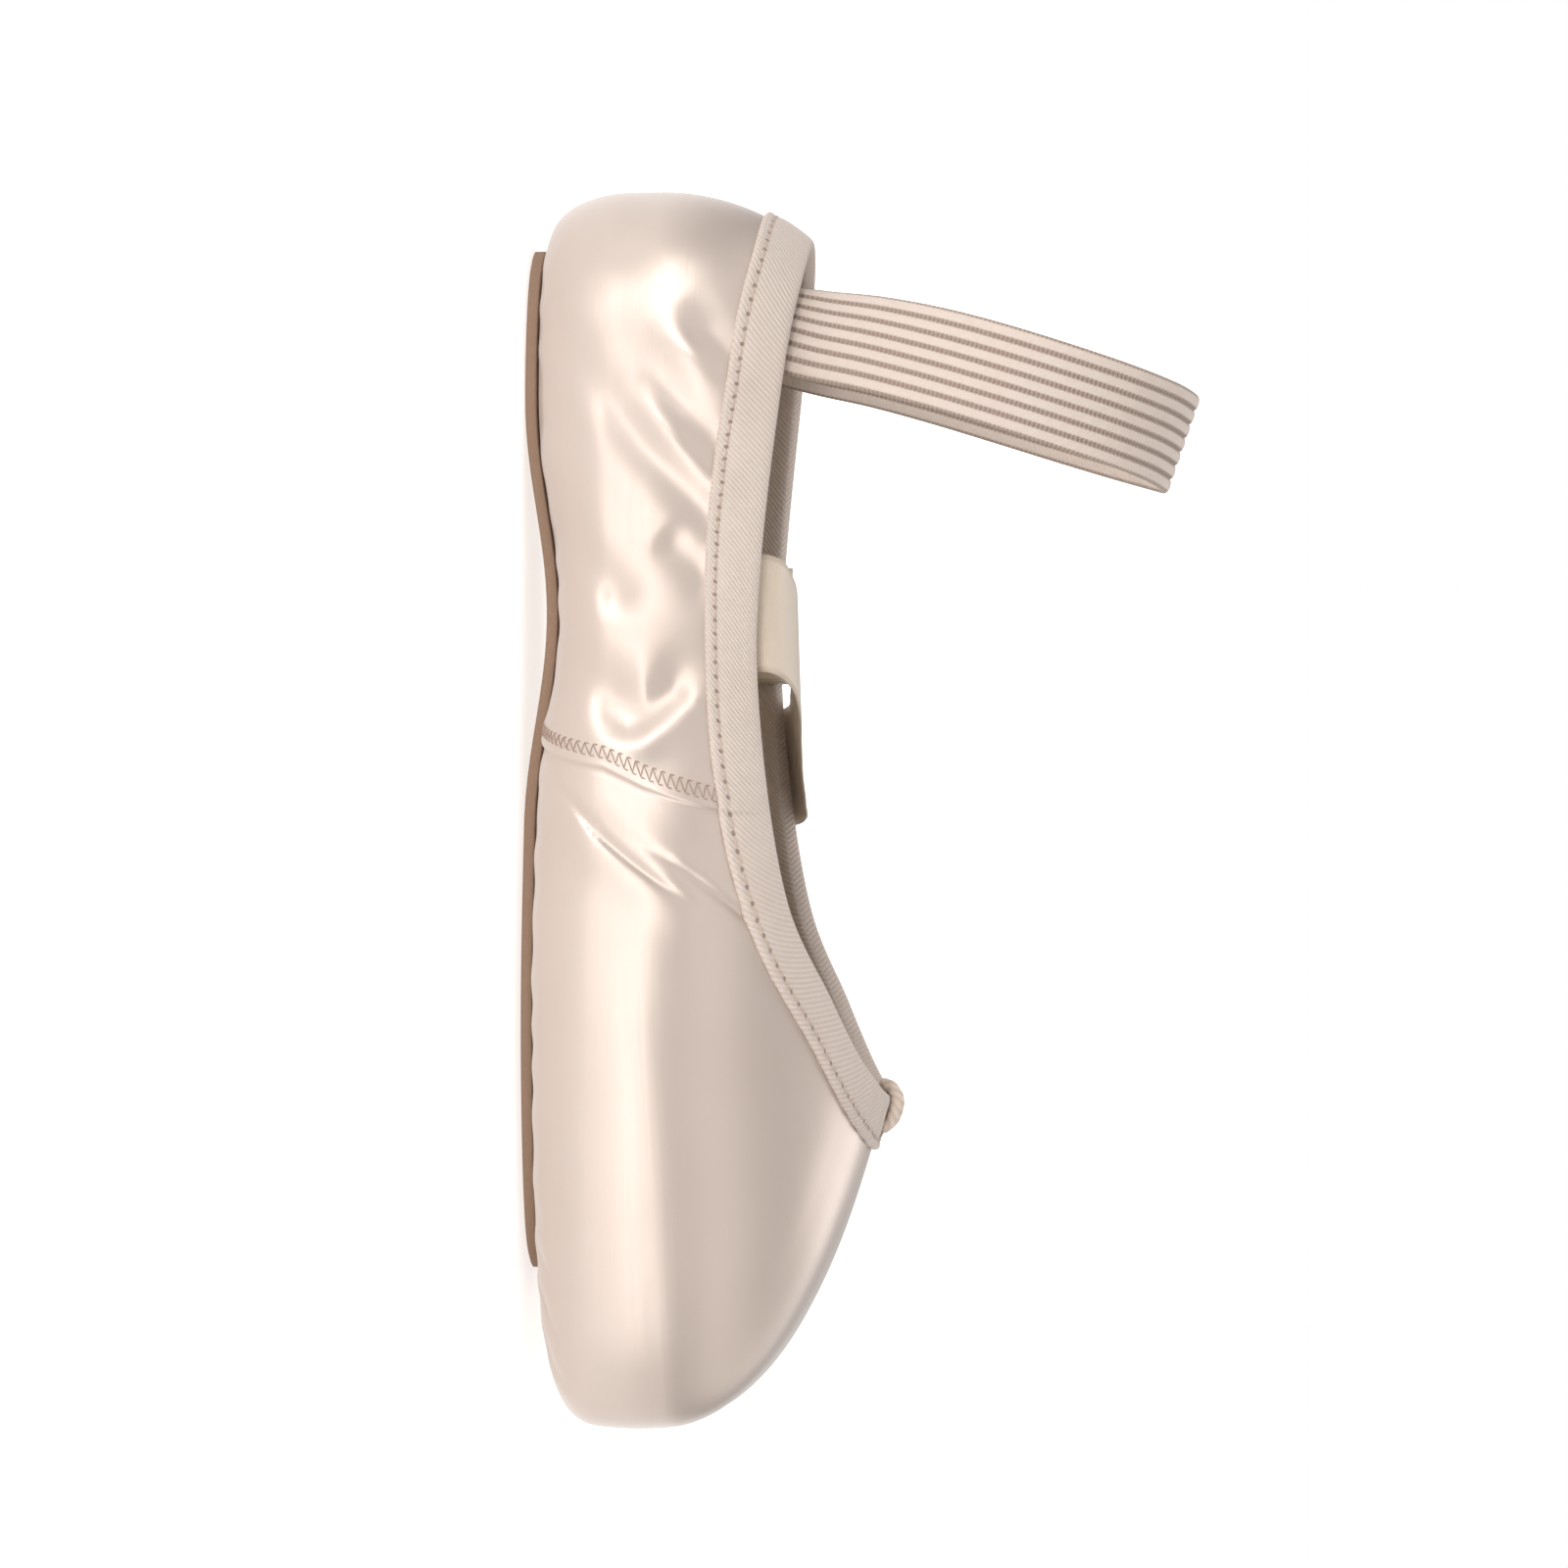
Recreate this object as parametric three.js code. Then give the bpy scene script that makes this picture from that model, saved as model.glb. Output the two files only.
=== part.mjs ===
// Pointe shoe on a straight last, standing empty and unbent on its sole.
// Millimetres. +X points to the toe, +Z up. The origin lies on the floor midway between heel and platform.
import * as THREE from "three";

// Driving sizes
const shoeLength = 230;
const ballWidth = 88;
const throatHeight = 67;
const archRise = 3.6;
const toeSpring = 1.2;
const quarterWall = 1.6;
const boxWall = 3;
const fitGap = 0.3;
const bindingGap = 0.4;
const outsoleThickness = 2.4;
const outsoleSkive = 0.7;
const insoleThickness = 1.6;
const insoleGrow = 1.5;
const insoleSeat = 0.5;
const lastedMargin = 7;
const bindingWidth = 9.5;
const tapeThickness = 0.8;
const seamWidth = 4.6;
const seamRise = 0.5;
const drawstringDiameter = 2.2;
const elasticWidth = 19;
const elasticThickness = 1.4;
const ribbonWidth = 22;
const ribbonThickness = 0.6;
const floorGap = 0.2;

// Places along the foot
const archStart = -74;
const archEnd = 4;
const springStart = 70;
const boxStart = 5;
const boxFull = 60;
const heelRoundness = 2.1;
const toeRoundness = 2.8;

// Sections of one side, from the toe round to the heel. Shares: x of half the length, y of half the
// ball width, z of the throat height. "turn" is how far a section bends over on its way to the collar.
const columns = ["soleX", "soleY", "sideX", "sideY", "lowZ", "highZ", "rimX", "rimY", "rimZ", "turn"];
const sectionTable = {
  tip: [0.752, 0, 1, 0, 0.23, 0.4, 0.478, 0, 0.985, 52],
  corner: [0.735, 0.2, 0.985, 0.535, 0.23, 0.4, 0.462, 0.225, 0.967, 55],
  edge: [0.687, 0.36, 0.913, 0.7, 0.23, 0.4, 0.415, 0.4, 0.92, 58],
  box: [0.55, 0.5, 0.665, 0.895, 0.23, 0.39, 0.32, 0.55, 0.845, 60],
  ball: [0.305, 0.56, 0.28, 1, 0.24, 0.36, 0.165, 0.72, 0.73, 54],
  waist: [-0.3, 0.33, -0.28, 0.8, 0.25, 0.36, -0.23, 0.74, 0.645, 36],
  heel: [-0.7, 0.45, -0.7, 0.69, 0.25, 0.36, -0.7, 0.575, 0.71, 36],
  counter: [-0.85, 0.29, -0.925, 0.46, 0.27, 0.36, -0.855, 0.35, 0.752, 40],
  back: [-0.905, 0, -1, 0, 0.28, 0.36, -0.915, 0, 0.766, 42],
};
const halfSteps = [3, 3, 4, 5, 8, 5, 4, 3];

// Heights on a section: 0 lasted margin, 1 edge of the sole, 2 and 3 the upright side, 4 the collar
const marginLevel = 0;
const soleLevel = 1;
const lowLevel = 2;
const highLevel = 3;
const rimLevel = 4;
const thinningLevel = 3.4;
const levelSteps = [1, 6, 1, 9];

// The side seam leaves the sole behind the ball and leans towards the toe, in steps of the section table
const seamAt = 4.7;
const seamLean = 0.28;
const seamTop = 3.4;
const waistStep = 64;

const halfCount = Object.keys(sectionTable).length - 1;
const fullCount = 2 * halfCount;

function smooth(from, to, value) {
  return THREE.MathUtils.smoothstep(value, from, to);
}

// One row of the table as sizes, with its mirror image on the other side of the foot
function sizedSection(index) {
  const mirrored = index > halfCount;
  const shares = Object.values(sectionTable)[mirrored ? fullCount - index : index];
  const share = Object.fromEntries(columns.map((name, column) => [name, shares[column]]));
  const alongX = shoeLength / 2;
  const acrossY = (mirrored ? -1 : 1) * ballWidth / 2;
  return {
    sole: new THREE.Vector3(share.soleX * alongX, share.soleY * acrossY, share.turn),
    low: new THREE.Vector3(share.sideX * alongX, share.sideY * acrossY, share.lowZ * throatHeight),
    high: new THREE.Vector3(share.sideX * alongX, share.sideY * acrossY, share.highZ * throatHeight),
    rim: new THREE.Vector3(share.rimX * alongX, share.rimY * acrossY, share.rimZ * throatHeight),
  };
}

function closedRail(name) {
  const points = Array.from({ length: fullCount }, (_, index) => sizedSection(index)[name]);
  return new THREE.CatmullRomCurve3(points, true, "centripetal");
}

const rails = {
  sole: closedRail("sole"),
  low: closedRail("low"),
  high: closedRail("high"),
  rim: closedRail("rim"),
};

function railPoint(name, around) {
  const turns = around / fullCount;
  return rails[name].getPoint(turns - Math.floor(turns));
}

// The sole's underside lies on the floor at heel and forefoot, and rises at the arch and the tip
function soleLift(x) {
  const along = THREE.MathUtils.clamp((x - archStart) / (archEnd - archStart), 0, 1);
  const arch = archRise * Math.sin(Math.PI * along) ** 2;
  const ahead = Math.max(0, (x - springStart) / (shoeLength / 2 - springStart));
  return arch + toeSpring * ahead ** 2;
}

// Edge of the sole in plan, moved outwards by grow
function soleEdge(around, grow) {
  const here = railPoint("sole", around);
  const step = 0.02;
  const along = railPoint("sole", around + step).sub(railPoint("sole", around - step));
  const outward = new THREE.Vector2(along.y, -along.x).normalize();
  return new THREE.Vector2(here.x, here.y).addScaledVector(outward, grow);
}

// Outer face of the upper
function skin(around, level) {
  const sole = railPoint("sole", around);
  const edge = new THREE.Vector2(sole.x, sole.y);
  const bottomAt = (x) => soleLift(x) + outsoleThickness + fitGap;
  if (level <= soleLevel) {
    const plan = soleEdge(around, -lastedMargin * (soleLevel - level));
    return new THREE.Vector3(plan.x, plan.y, bottomAt(plan.x));
  }
  const low = railPoint("low", around);
  if (level <= lowLevel) {
    const angle = (level - soleLevel) * Math.PI / 2;
    const roundness = THREE.MathUtils.lerp(heelRoundness, toeRoundness, smooth(archStart, boxFull, edge.x));
    const out = Math.sin(angle) ** (2 / roundness);
    const down = Math.cos(angle) ** (2 / roundness);
    const plan = edge.clone().lerp(new THREE.Vector2(low.x, low.y), out);
    return new THREE.Vector3(plan.x, plan.y, low.z - (low.z - bottomAt(plan.x)) * down);
  }
  const high = railPoint("high", around);
  if (level <= highLevel) {
    return low.lerp(high, level - lowLevel);
  }
  const rim = railPoint("rim", around);
  const turn = THREE.MathUtils.degToRad(sole.z);
  const angle = turn * (level - highLevel);
  const inward = (1 - Math.cos(angle)) / (1 - Math.cos(turn));
  const upward = Math.sin(angle) / Math.sin(turn);
  return new THREE.Vector3(
    THREE.MathUtils.lerp(high.x, rim.x, inward),
    THREE.MathUtils.lerp(high.y, rim.y, inward),
    THREE.MathUtils.lerp(high.z, rim.z, upward),
  );
}

function skinNormal(around, level) {
  const step = 0.01;
  const below = Math.max(level - step, marginLevel);
  const above = Math.min(level + step, rimLevel);
  const alongShoe = skin(around + step, level).sub(skin(around - step, level));
  const upSection = skin(around, above).sub(skin(around, below));
  return alongShoe.cross(upSection).normalize();
}

// The stiff box is thicker than the quarters, and thins again towards the collar
function wallAt(x, level) {
  const towardsRim = smooth(thinningLevel, rimLevel, level);
  return quarterWall + (boxWall - quarterWall) * smooth(boxStart, boxFull, x) * (1 - towardsRim);
}

// A solid through closed outlines, joined end to end or capped at both ends. The columns from backFrom
// on run back over the first ones, and their facets are split along the same corners.
function loft(outlines, joined, backFrom = Infinity) {
  const positions = outlines.flat().flatMap((point) => [point.x, point.y, point.z]);
  const count = outlines[0].length;
  const indices = [];
  const spans = joined ? outlines.length : outlines.length - 1;
  for (let row = 0; row < spans; row++) {
    const next = (row + 1) % outlines.length;
    for (let column = 0; column < count; column++) {
      const beside = (column + 1) % count;
      const [a, b] = [row * count + column, row * count + beside];
      const [c, d] = [next * count + column, next * count + beside];
      indices.push(...(column < backFrom ? [a, b, d, a, d, c] : [a, b, c, b, d, c]));
    }
  }
  if (!joined) {
    const last = (outlines.length - 1) * count;
    for (let column = 0; column < count / 2 - 1; column++) {
      const [a, b, c, d] = [column, column + 1, count - 1 - column, count - 2 - column];
      indices.push(a, c, d, a, d, b);
      indices.push(...[a, b, d, a, d, c].map((corner) => last + corner));
    }
  }
  const geometry = new THREE.BufferGeometry();
  geometry.setAttribute("position", new THREE.Float32BufferAttribute(positions, 3));
  geometry.setIndex(signedVolume(outlines.flat(), indices) < 0 ? indices.reverse() : indices);
  geometry.computeVertexNormals();
  return geometry;
}

function signedVolume(points, indices) {
  let volume = 0;
  for (let corner = 0; corner < indices.length; corner += 3) {
    const [a, b, c] = [0, 1, 2].map((offset) => points[indices[corner + offset]]);
    volume += a.dot(b.clone().cross(c)) / 6;
  }
  return volume;
}

// Each whole step of a table, cut into as many equal parts as its entry says
function cutSteps(parts) {
  return parts.flatMap((count, index) => Array.from({ length: count }, (_, part) => index + part / count));
}

// Section lines all round the shoe, with a pair at each edge of the two side seams
const seamHalf = seamWidth / 2 / waistStep;
const seamBlend = seamHalf / 3;

function ringLines() {
  const clear = cutSteps(halfSteps).filter((line) => Math.abs(line - seamAt) > 2 * seamHalf);
  const outer = seamHalf + seamBlend;
  const edges = [-outer, -seamHalf, seamHalf, outer].map((offset) => seamAt + offset);
  const half = [...clear, ...edges].sort((a, b) => a - b);
  const mirrored = half.slice(1).reverse().map((line) => fullCount - line);
  return [...half, halfCount, ...mirrored];
}

function onOneSide(line) {
  return Math.min(line, fullCount - line);
}

// Lines near the side seam lean with it
function leaningLine(line, level) {
  const side = onOneSide(line);
  const before = (side - Math.floor(seamAt)) / (seamAt - Math.floor(seamAt));
  const after = (Math.ceil(seamAt) - side) / (Math.ceil(seamAt) - seamAt);
  const share = Math.max(0, Math.min(before, after));
  const lean = seamLean * share * Math.max(0, level - soleLevel) / (rimLevel - soleLevel);
  return line < halfCount ? line - lean : line + lean;
}

function seamLift(line, level) {
  const onSeam = Math.abs(onOneSide(line) - seamAt) < seamHalf + seamBlend / 2;
  return onSeam && level > soleLevel && level < seamTop ? seamRise : 0;
}

// Points on a leaning line, off the outer face and off the inner face
function outsidePoint(line, level, off) {
  const around = leaningLine(line, level);
  return skin(around, level).addScaledVector(skinNormal(around, level), off);
}

function insidePoint(line, level, off) {
  const { x } = skin(leaningLine(line, level), level);
  return outsidePoint(line, level, -wallAt(x, level) - off);
}

function upperGeometry() {
  const levels = [...cutSteps(levelSteps), rimLevel];
  const outlines = ringLines().map((line) => {
    const outer = levels.map((level) => outsidePoint(line, level, seamLift(line, level)));
    const inner = levels.map((level) => insidePoint(line, level, 0));
    return [...outer, ...inner.reverse()];
  });
  return loft(outlines, true);
}

// A plate with the plan of the sole's edge, following its arch
function plateGeometry(grow, bottomAt, thickness, skive) {
  const ends = 0.12;
  const steps = 44;
  const outlines = Array.from({ length: steps + 1 }, (_, step) => {
    const around = ends + (halfCount - 2 * ends) * step / steps;
    const { x, y } = soleEdge(around, grow);
    const bottom = bottomAt(x);
    const under = Math.max(y - skive, y / 2);
    return [
      new THREE.Vector3(x, y, bottom + thickness),
      new THREE.Vector3(x, -y, bottom + thickness),
      new THREE.Vector3(x, -under, bottom),
      new THREE.Vector3(x, under, bottom),
    ];
  });
  return loft(outlines, false);
}

// The level on a leaning line at a distance down from the rim
function levelBelowRim(line, down) {
  const scan = 60;
  let walked = 0;
  let previous = outsidePoint(line, rimLevel, 0);
  for (let step = 1; step <= scan; step++) {
    const here = outsidePoint(line, rimLevel - step / scan, 0);
    const length = here.distanceTo(previous);
    if (walked + length >= down) {
      return rimLevel - (step - 1 + (down - walked) / length) / scan;
    }
    walked += length;
    previous = here;
  }
  return highLevel;
}

// A point near the collar: down from the rim or, for a negative down, above it. A positive off lies
// outside the wall and a negative one inside it.
function collarPoint(line, down, off) {
  const level = down > 0 ? levelBelowRim(line, down) : rimLevel;
  const point = off < 0 ? insidePoint(line, level, -off) : outsidePoint(line, level, off);
  if (down < 0) {
    const step = 0.02;
    const upward = outsidePoint(line, rimLevel, 0).sub(outsidePoint(line, rimLevel - step, 0));
    point.add(upward.setLength(-down));
  }
  return point;
}

// Twill tape folded over the collar: inner face of the fold, then its outer face
function bindingGeometry() {
  const near = bindingGap;
  const far = bindingGap + tapeThickness;
  const half = bindingWidth / 2;
  const round = 0.7 * tapeThickness;
  const profile = [
    [bindingWidth, near], [half, near], [-near, near], [-near, -near], [half, -near], [bindingWidth, -near],
    [bindingWidth, -far], [half, -far], [round, -far], [-near - round, -far + round], [-far, -near],
    [-far, near], [-near - round, far - round], [round, far], [half, far], [bindingWidth, far],
  ];
  const outlines = ringLines().map((line) => profile.map(([down, off]) => collarPoint(line, down, off)));
  return loft(outlines, true);
}

// A flat band along rows of x, y, z, heading, tilt and cup. Heading and tilt say which way its width
// points, cup how far its edges curl off its middle, and nothing of it lies lower than the floor.
function bandGeometry(rows, width, thickness, stepsPerRow, strips) {
  const places = rows.map(([x, y, z]) => new THREE.Vector3(x, y, z));
  const faces = rows.map(([, , , heading, tilt, cup = 0]) => new THREE.Vector3(heading, tilt, cup));
  const path = new THREE.CatmullRomCurve3(places, false, "centripetal");
  const facing = new THREE.CatmullRomCurve3(faces, false, "catmullrom");
  const steps = (rows.length - 1) * stepsPerRow;
  const outlines = Array.from({ length: steps + 1 }, (_, step) => {
    const point = path.getPoint(step / steps);
    const along = path.getTangent(step / steps);
    const face = facing.getPoint(step / steps);
    const heading = THREE.MathUtils.degToRad(face.x);
    const tilt = THREE.MathUtils.degToRad(face.y);
    const across = new THREE.Vector3(
      Math.cos(heading) * Math.cos(tilt), Math.sin(heading) * Math.cos(tilt), Math.sin(tilt));
    across.addScaledVector(along, -across.dot(along)).normalize();
    const off = along.clone().cross(across);
    const reach = width / 2 * Math.abs(across.z) + thickness / 2 * Math.abs(off.z);
    point.z = Math.max(point.z, reach + floorGap);
    const spots = Array.from({ length: strips + 1 }, (_, strip) => 2 * strip / strips - 1);
    const layer = (side) => spots.map((spot) => point.clone()
      .addScaledVector(across, spot * width / 2)
      .addScaledVector(off, face.z * spot ** 2 + side * thickness / 2));
    return [...layer(1), ...layer(-1).reverse()];
  });
  return loft(outlines, false, strips + 1);
}

// Elastic: sewn inside the collar beside the heel, then up and forward to the middle of its loop
const elasticAt = fullCount - 6.5;
const elasticHeading = -27;
const elasticCup = 2.6;
const elasticSewn = 12;
const sewnElastic = [elasticSewn, elasticSewn / 2, 0].map((down) => {
  const seat = bindingGap + tapeThickness + fitGap + elasticThickness / 2;
  return [...collarPoint(elasticAt, down, -seat).toArray(), elasticHeading, 0, elasticCup];
});
const freeElastic = [
  [-87.6, -18.2, 54, -24, -8, 2], [-85.4, -20.4, 64, -17, -14, 1.2], [-82.2, -23.2, 76, -9, -18, 0.4],
  [-78.6, -25, 88, -3, -19], [-74.8, -24.6, 100, 0, -19], [-71.4, -21, 110.5, 0, -19],
  [-68.9, -13.6, 117.8, 0, -19], [-67.6, -4.8, 120.8, 0, -19],
];
const elasticHalf = [...sewnElastic, ...freeElastic];
const elasticRoute = [
  ...elasticHalf,
  ...elasticHalf.slice().reverse().map(([x, y, z, heading, tilt, cup]) => [x, -y, z, -heading, tilt, cup]),
];

// Ribbon of the inner side: across the opening, over the outer collar, then forward along the floor
const ribbonInnerRoute = [
  [-35, -29.6, 28, -4, 0], [-35, -29, 35, -4, 0], [-35, -28, 42, -5, 0], [-34.2, -26, 47, -12, 0],
  [-31.4, -20, 49.8, -22, 1], [-27, -11, 50.4, -24, 3], [-21, 2, 49.4, -24, 5], [-15.4, 15, 48.4, -22, 7],
  [-11.4, 25, 48, -16, 8], [-9, 32, 47.4, -6, 8], [-7.8, 36.8, 44.4, 3, 8], [-7.2, 40.2, 36, 8, 6],
  [-6.8, 42, 26, 9, 4], [-6.2, 43, 15, 8, 2], [-4, 47.4, 5.4, -6, 0], [2, 56, 0, -32, 0],
  [14, 66, 0, -58, 0], [32, 73, 0, -74, 0], [54, 77, 0, -84, 0], [74, 79, 0, -86, 8],
  [90, 83, 0, -74, 36], [101, 93, 0, -38, 60], [103, 106, 0, 6, 62], [93, 117, 0, 56, 50],
  [75, 121, 0, 86, 20], [56, 119, 0, 96, 0], [40, 120, 0, 86, -10], [25, 126, 0, 62, -40],
  [15, 138, 0, 22, -60], [18, 151, 0, -22, -58], [32, 159, 0, -62, -42], [52, 162, 0, -88, -14],
  [72, 160, 0, -94, 0], [94, 161, 0, -86, 0],
];

// Ribbon of the outer side: over its own collar, then back along the floor
const ribbonOuterRoute = [
  [-35, 29.2, 28, 4, 0], [-35, 28.8, 35, 4, 0], [-35, 28, 42, 4, 0], [-35, 28.9, 45, 4, 0],
  [-35, 31.2, 46.2, 4, 0], [-35, 33.9, 45.2, 4, 0], [-35, 35.2, 42, 5, 0], [-35, 36.8, 34, 6, 0],
  [-35, 37.4, 24, 7, 0], [-35.4, 39, 13, 7, 0], [-37, 43.6, 4.6, 10, 0], [-41, 51.6, 0, 30, 0],
  [-52, 62, 0, 56, 0], [-70, 69, 0, 74, -6], [-87, 74, 0, 70, -34], [-99, 84, 0, 38, -58],
  [-101, 97, 0, -6, -62], [-92, 109, 0, -52, -52], [-74, 114, 0, -84, -20], [-54, 113, 0, -94, 0],
  [-34, 114, 0, -84, 12], [-18, 120, 0, -60, 40], [-8, 132, 0, -20, 60], [-11, 145, 0, 24, 58],
  [-25, 154, 0, 64, 42], [-46, 157, 0, 88, 12], [-66, 156, 0, 92, -4], [-85, 159, 0, 74, -36],
  [-97, 169, 0, 38, -58], [-99, 182, 0, -6, -62], [-90, 193, 0, -54, -50], [-72, 198, 0, -84, -18],
  [-50, 198, 0, -92, 0], [-28, 200, 0, -86, 0],
];

// Drawstring: one loose turn of cord lying on the binding at the throat
function knotGeometry() {
  const radius = drawstringDiameter / 2;
  const seat = bindingGap + tapeThickness + fitGap + radius;
  const turn = [
    { down: 4.5, across: -3.2, up: 0 },
    { down: 2, across: -2.6, up: 0.2 },
    { down: -0.4, across: -1.2, up: 0.9 },
    { down: -0.9, across: 1, up: 1.6 },
    { down: 0.8, across: 2.8, up: 1.4 },
    { down: 3, across: 2.2, up: 1.7 },
    { down: 4, across: 0.2, up: 2.5 },
    { down: 2.6, across: -1.8, up: 2.9 },
    { down: 0.4, across: -3.4, up: 2.2 },
  ];
  const points = turn.map(({ down, across, up }) => collarPoint(0, down, seat + up).setY(across));
  const section = new THREE.Shape().absarc(0, 0, radius, 0, 2 * Math.PI);
  const extrudePath = new THREE.CatmullRomCurve3(points);
  const options = { steps: 28, curveSegments: 4, extrudePath, bevelEnabled: false };
  return new THREE.ExtrudeGeometry(section, options);
}

const finishes = {
  satin: { color: 0xdccabd, roughness: 0.38, metalness: 0 },
  leather: { color: 0x8d7260, roughness: 0.85, metalness: 0 },
  sock: { color: 0xd8ccbd, roughness: 0.9, metalness: 0 },
  twill: { color: 0xd9cabf, roughness: 0.85, metalness: 0 },
  elastic: { color: 0xcdb8a8, roughness: 0.8, metalness: 0 },
  ribbon: { color: 0xcfbfab, roughness: 0.6, metalness: 0 },
};

const shoe = new THREE.Group();

function addPiece(name, finish, geometry) {
  const piece = new THREE.Mesh(geometry, new THREE.MeshStandardMaterial(finishes[finish]));
  piece.name = name;
  shoe.add(piece);
}

addPiece("upper", "satin", upperGeometry());
addPiece("outsole", "leather", plateGeometry(0, soleLift, outsoleThickness, outsoleSkive));
const insoleBottom = (x) => soleLift(x) + outsoleThickness + fitGap + wallAt(x, soleLevel) + insoleSeat;
addPiece("insole", "sock", plateGeometry(insoleGrow, insoleBottom, insoleThickness, 0));
addPiece("collar_binding", "twill", bindingGeometry());
addPiece("drawstring_knot", "twill", knotGeometry());
addPiece("heel_elastic", "elastic", bandGeometry(elasticRoute, elasticWidth, elasticThickness, 2, 4));
addPiece("ribbon_inner", "ribbon", bandGeometry(ribbonInnerRoute, ribbonWidth, ribbonThickness, 2, 1));
addPiece("ribbon_outer", "ribbon", bandGeometry(ribbonOuterRoute, ribbonWidth, ribbonThickness, 2, 1));

export default shoe;
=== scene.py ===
import math

import bpy
import numpy as np
from mathutils import Matrix, Vector


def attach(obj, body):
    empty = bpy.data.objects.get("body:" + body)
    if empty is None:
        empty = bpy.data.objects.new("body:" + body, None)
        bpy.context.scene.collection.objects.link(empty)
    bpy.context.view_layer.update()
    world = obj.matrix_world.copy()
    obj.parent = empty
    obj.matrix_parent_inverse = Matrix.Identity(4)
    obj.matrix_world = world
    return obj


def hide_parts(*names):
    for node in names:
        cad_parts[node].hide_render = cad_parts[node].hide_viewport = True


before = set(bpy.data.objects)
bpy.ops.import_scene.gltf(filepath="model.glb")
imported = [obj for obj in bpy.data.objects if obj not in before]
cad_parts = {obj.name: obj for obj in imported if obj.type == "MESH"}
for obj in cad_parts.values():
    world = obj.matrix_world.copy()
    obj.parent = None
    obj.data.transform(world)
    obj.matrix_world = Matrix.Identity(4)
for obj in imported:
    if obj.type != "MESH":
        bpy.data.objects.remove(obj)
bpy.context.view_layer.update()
print("frame loaded:", ", ".join(sorted(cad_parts)))

mm = 0.001
tau = 2 * math.pi


# Shader maths: a socket that takes part in plain expressions
class Socket:
    def __init__(self, finish, socket):
        self.finish = finish
        self.socket = socket

    def maths(self, operation, *others):
        return self.finish.maths(operation, self, *others)

    def __add__(self, other):
        return self.maths("ADD", other)

    def __sub__(self, other):
        return self.maths("SUBTRACT", other)

    def __mul__(self, other):
        return self.maths("MULTIPLY", other)

    def __truediv__(self, other):
        return self.maths("DIVIDE", other)

    def __pow__(self, other):
        return self.maths("POWER", other)

    def __rsub__(self, other):
        return self.finish.maths("SUBTRACT", other, self)

    def __rtruediv__(self, other):
        return self.finish.maths("DIVIDE", other, self)

    __radd__ = __add__
    __rmul__ = __mul__

    def wave(self, pitch):  # 0 to 1 and back over each pitch
        return (self * (tau / pitch)).maths("SINE") * 0.5 + 0.5

    def within(self, low, high):  # soft step from 0 at low to 1 at high
        settings = {"interpolation_type": "SMOOTHSTEP"}
        return self.finish.node("ShaderNodeMapRange", settings, {0: self, 1: low, 2: high, 3: 0.0, 4: 1.0})


class Finish:
    def __init__(self, name, owners=bpy.data.materials):  # owners: the file's materials, or its worlds
        self.owner = owners.new(name)
        self.owner.use_nodes = True
        self.tree = self.owner.node_tree
        self.tree.nodes.clear()

    def node(self, kind, settings, inputs, output=0):
        made = self.tree.nodes.new(kind)
        for name, value in settings.items():
            if name == "stops":
                ramp = made.color_ramp.elements
                for index, (place, colour) in enumerate(value):
                    stop = ramp[index] if index < len(ramp) else ramp.new(place)
                    stop.position = place
                    stop.color = (*colour, 1)
            else:
                setattr(made, name, value)
        for name, value in inputs.items():
            if isinstance(value, Socket):
                self.tree.links.new(value.socket, made.inputs[name])
            else:
                made.inputs[name].default_value = value
        return Socket(self, made.outputs[output]) if len(made.outputs) else None

    def maths(self, operation, *values):
        return self.node("ShaderNodeMath", {"operation": operation}, dict(enumerate(values)))

    def place(self):  # place on the object, in metres
        return self.node("ShaderNodeTexCoord", {}, {}, "Object")

    def cloth(self):  # place on the flat cloth, in millimetres along and across
        flat = self.node("ShaderNodeUVMap", {"uv_map": "cloth"}, {})
        return [self.node("ShaderNodeSeparateXYZ", {}, {0: flat}, axis) for axis in (0, 1)]

    def mark(self, name):  # a value kept on the mesh's points
        return self.node("ShaderNodeAttribute", {"attribute_name": name}, {}, "Fac")

    def noise(self, scale, detail=3.0, roughness=0.55, at=None):
        inputs = {"Vector": at or self.place(), "Scale": scale, "Detail": detail, "Roughness": roughness}
        return self.node("ShaderNodeTexNoise", {}, inputs)

    def blend(self, share, first, second):
        first, second = [colour if isinstance(colour, Socket) else (*colour, 1) for colour in (first, second)]
        return self.node("ShaderNodeMix", {"data_type": "RGBA"}, {0: share, 6: first, 7: second}, 2)

    def bump(self, height, distance, strength=1.0):
        return self.node("ShaderNodeBump", {}, {"Height": height, "Distance": distance, "Strength": strength})

    def close(self, shader, kind):  # the last node of a material or a world
        self.node(kind, {}, {"Surface": shader})
        return self.owner

    def surface(self, inputs):
        return self.close(self.node("ShaderNodeBsdfPrincipled", {}, inputs), "ShaderNodeOutputMaterial")

    def backdrop(self, inputs):
        return self.close(self.node("ShaderNodeBackground", {}, inputs), "ShaderNodeOutputWorld")


def linear(red, green, blue):  # screen colour to scene colour
    return tuple((part / 255) ** 2.2 for part in (red, green, blue))


# Camera on the inner side of the shoe, rolled so that the toe points down
viewpoint = {
    "target": (-0.004, 0.0, 0.047),
    "azimuth": 1.5,
    "elevation": 4.0,
    "roll": 90.0,
    "distance": 1.5,
    "lens": 184.0,
}


def addObject(name, data):
    made = bpy.data.objects.new(name, data)
    bpy.context.scene.collection.objects.link(made)
    return made


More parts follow.
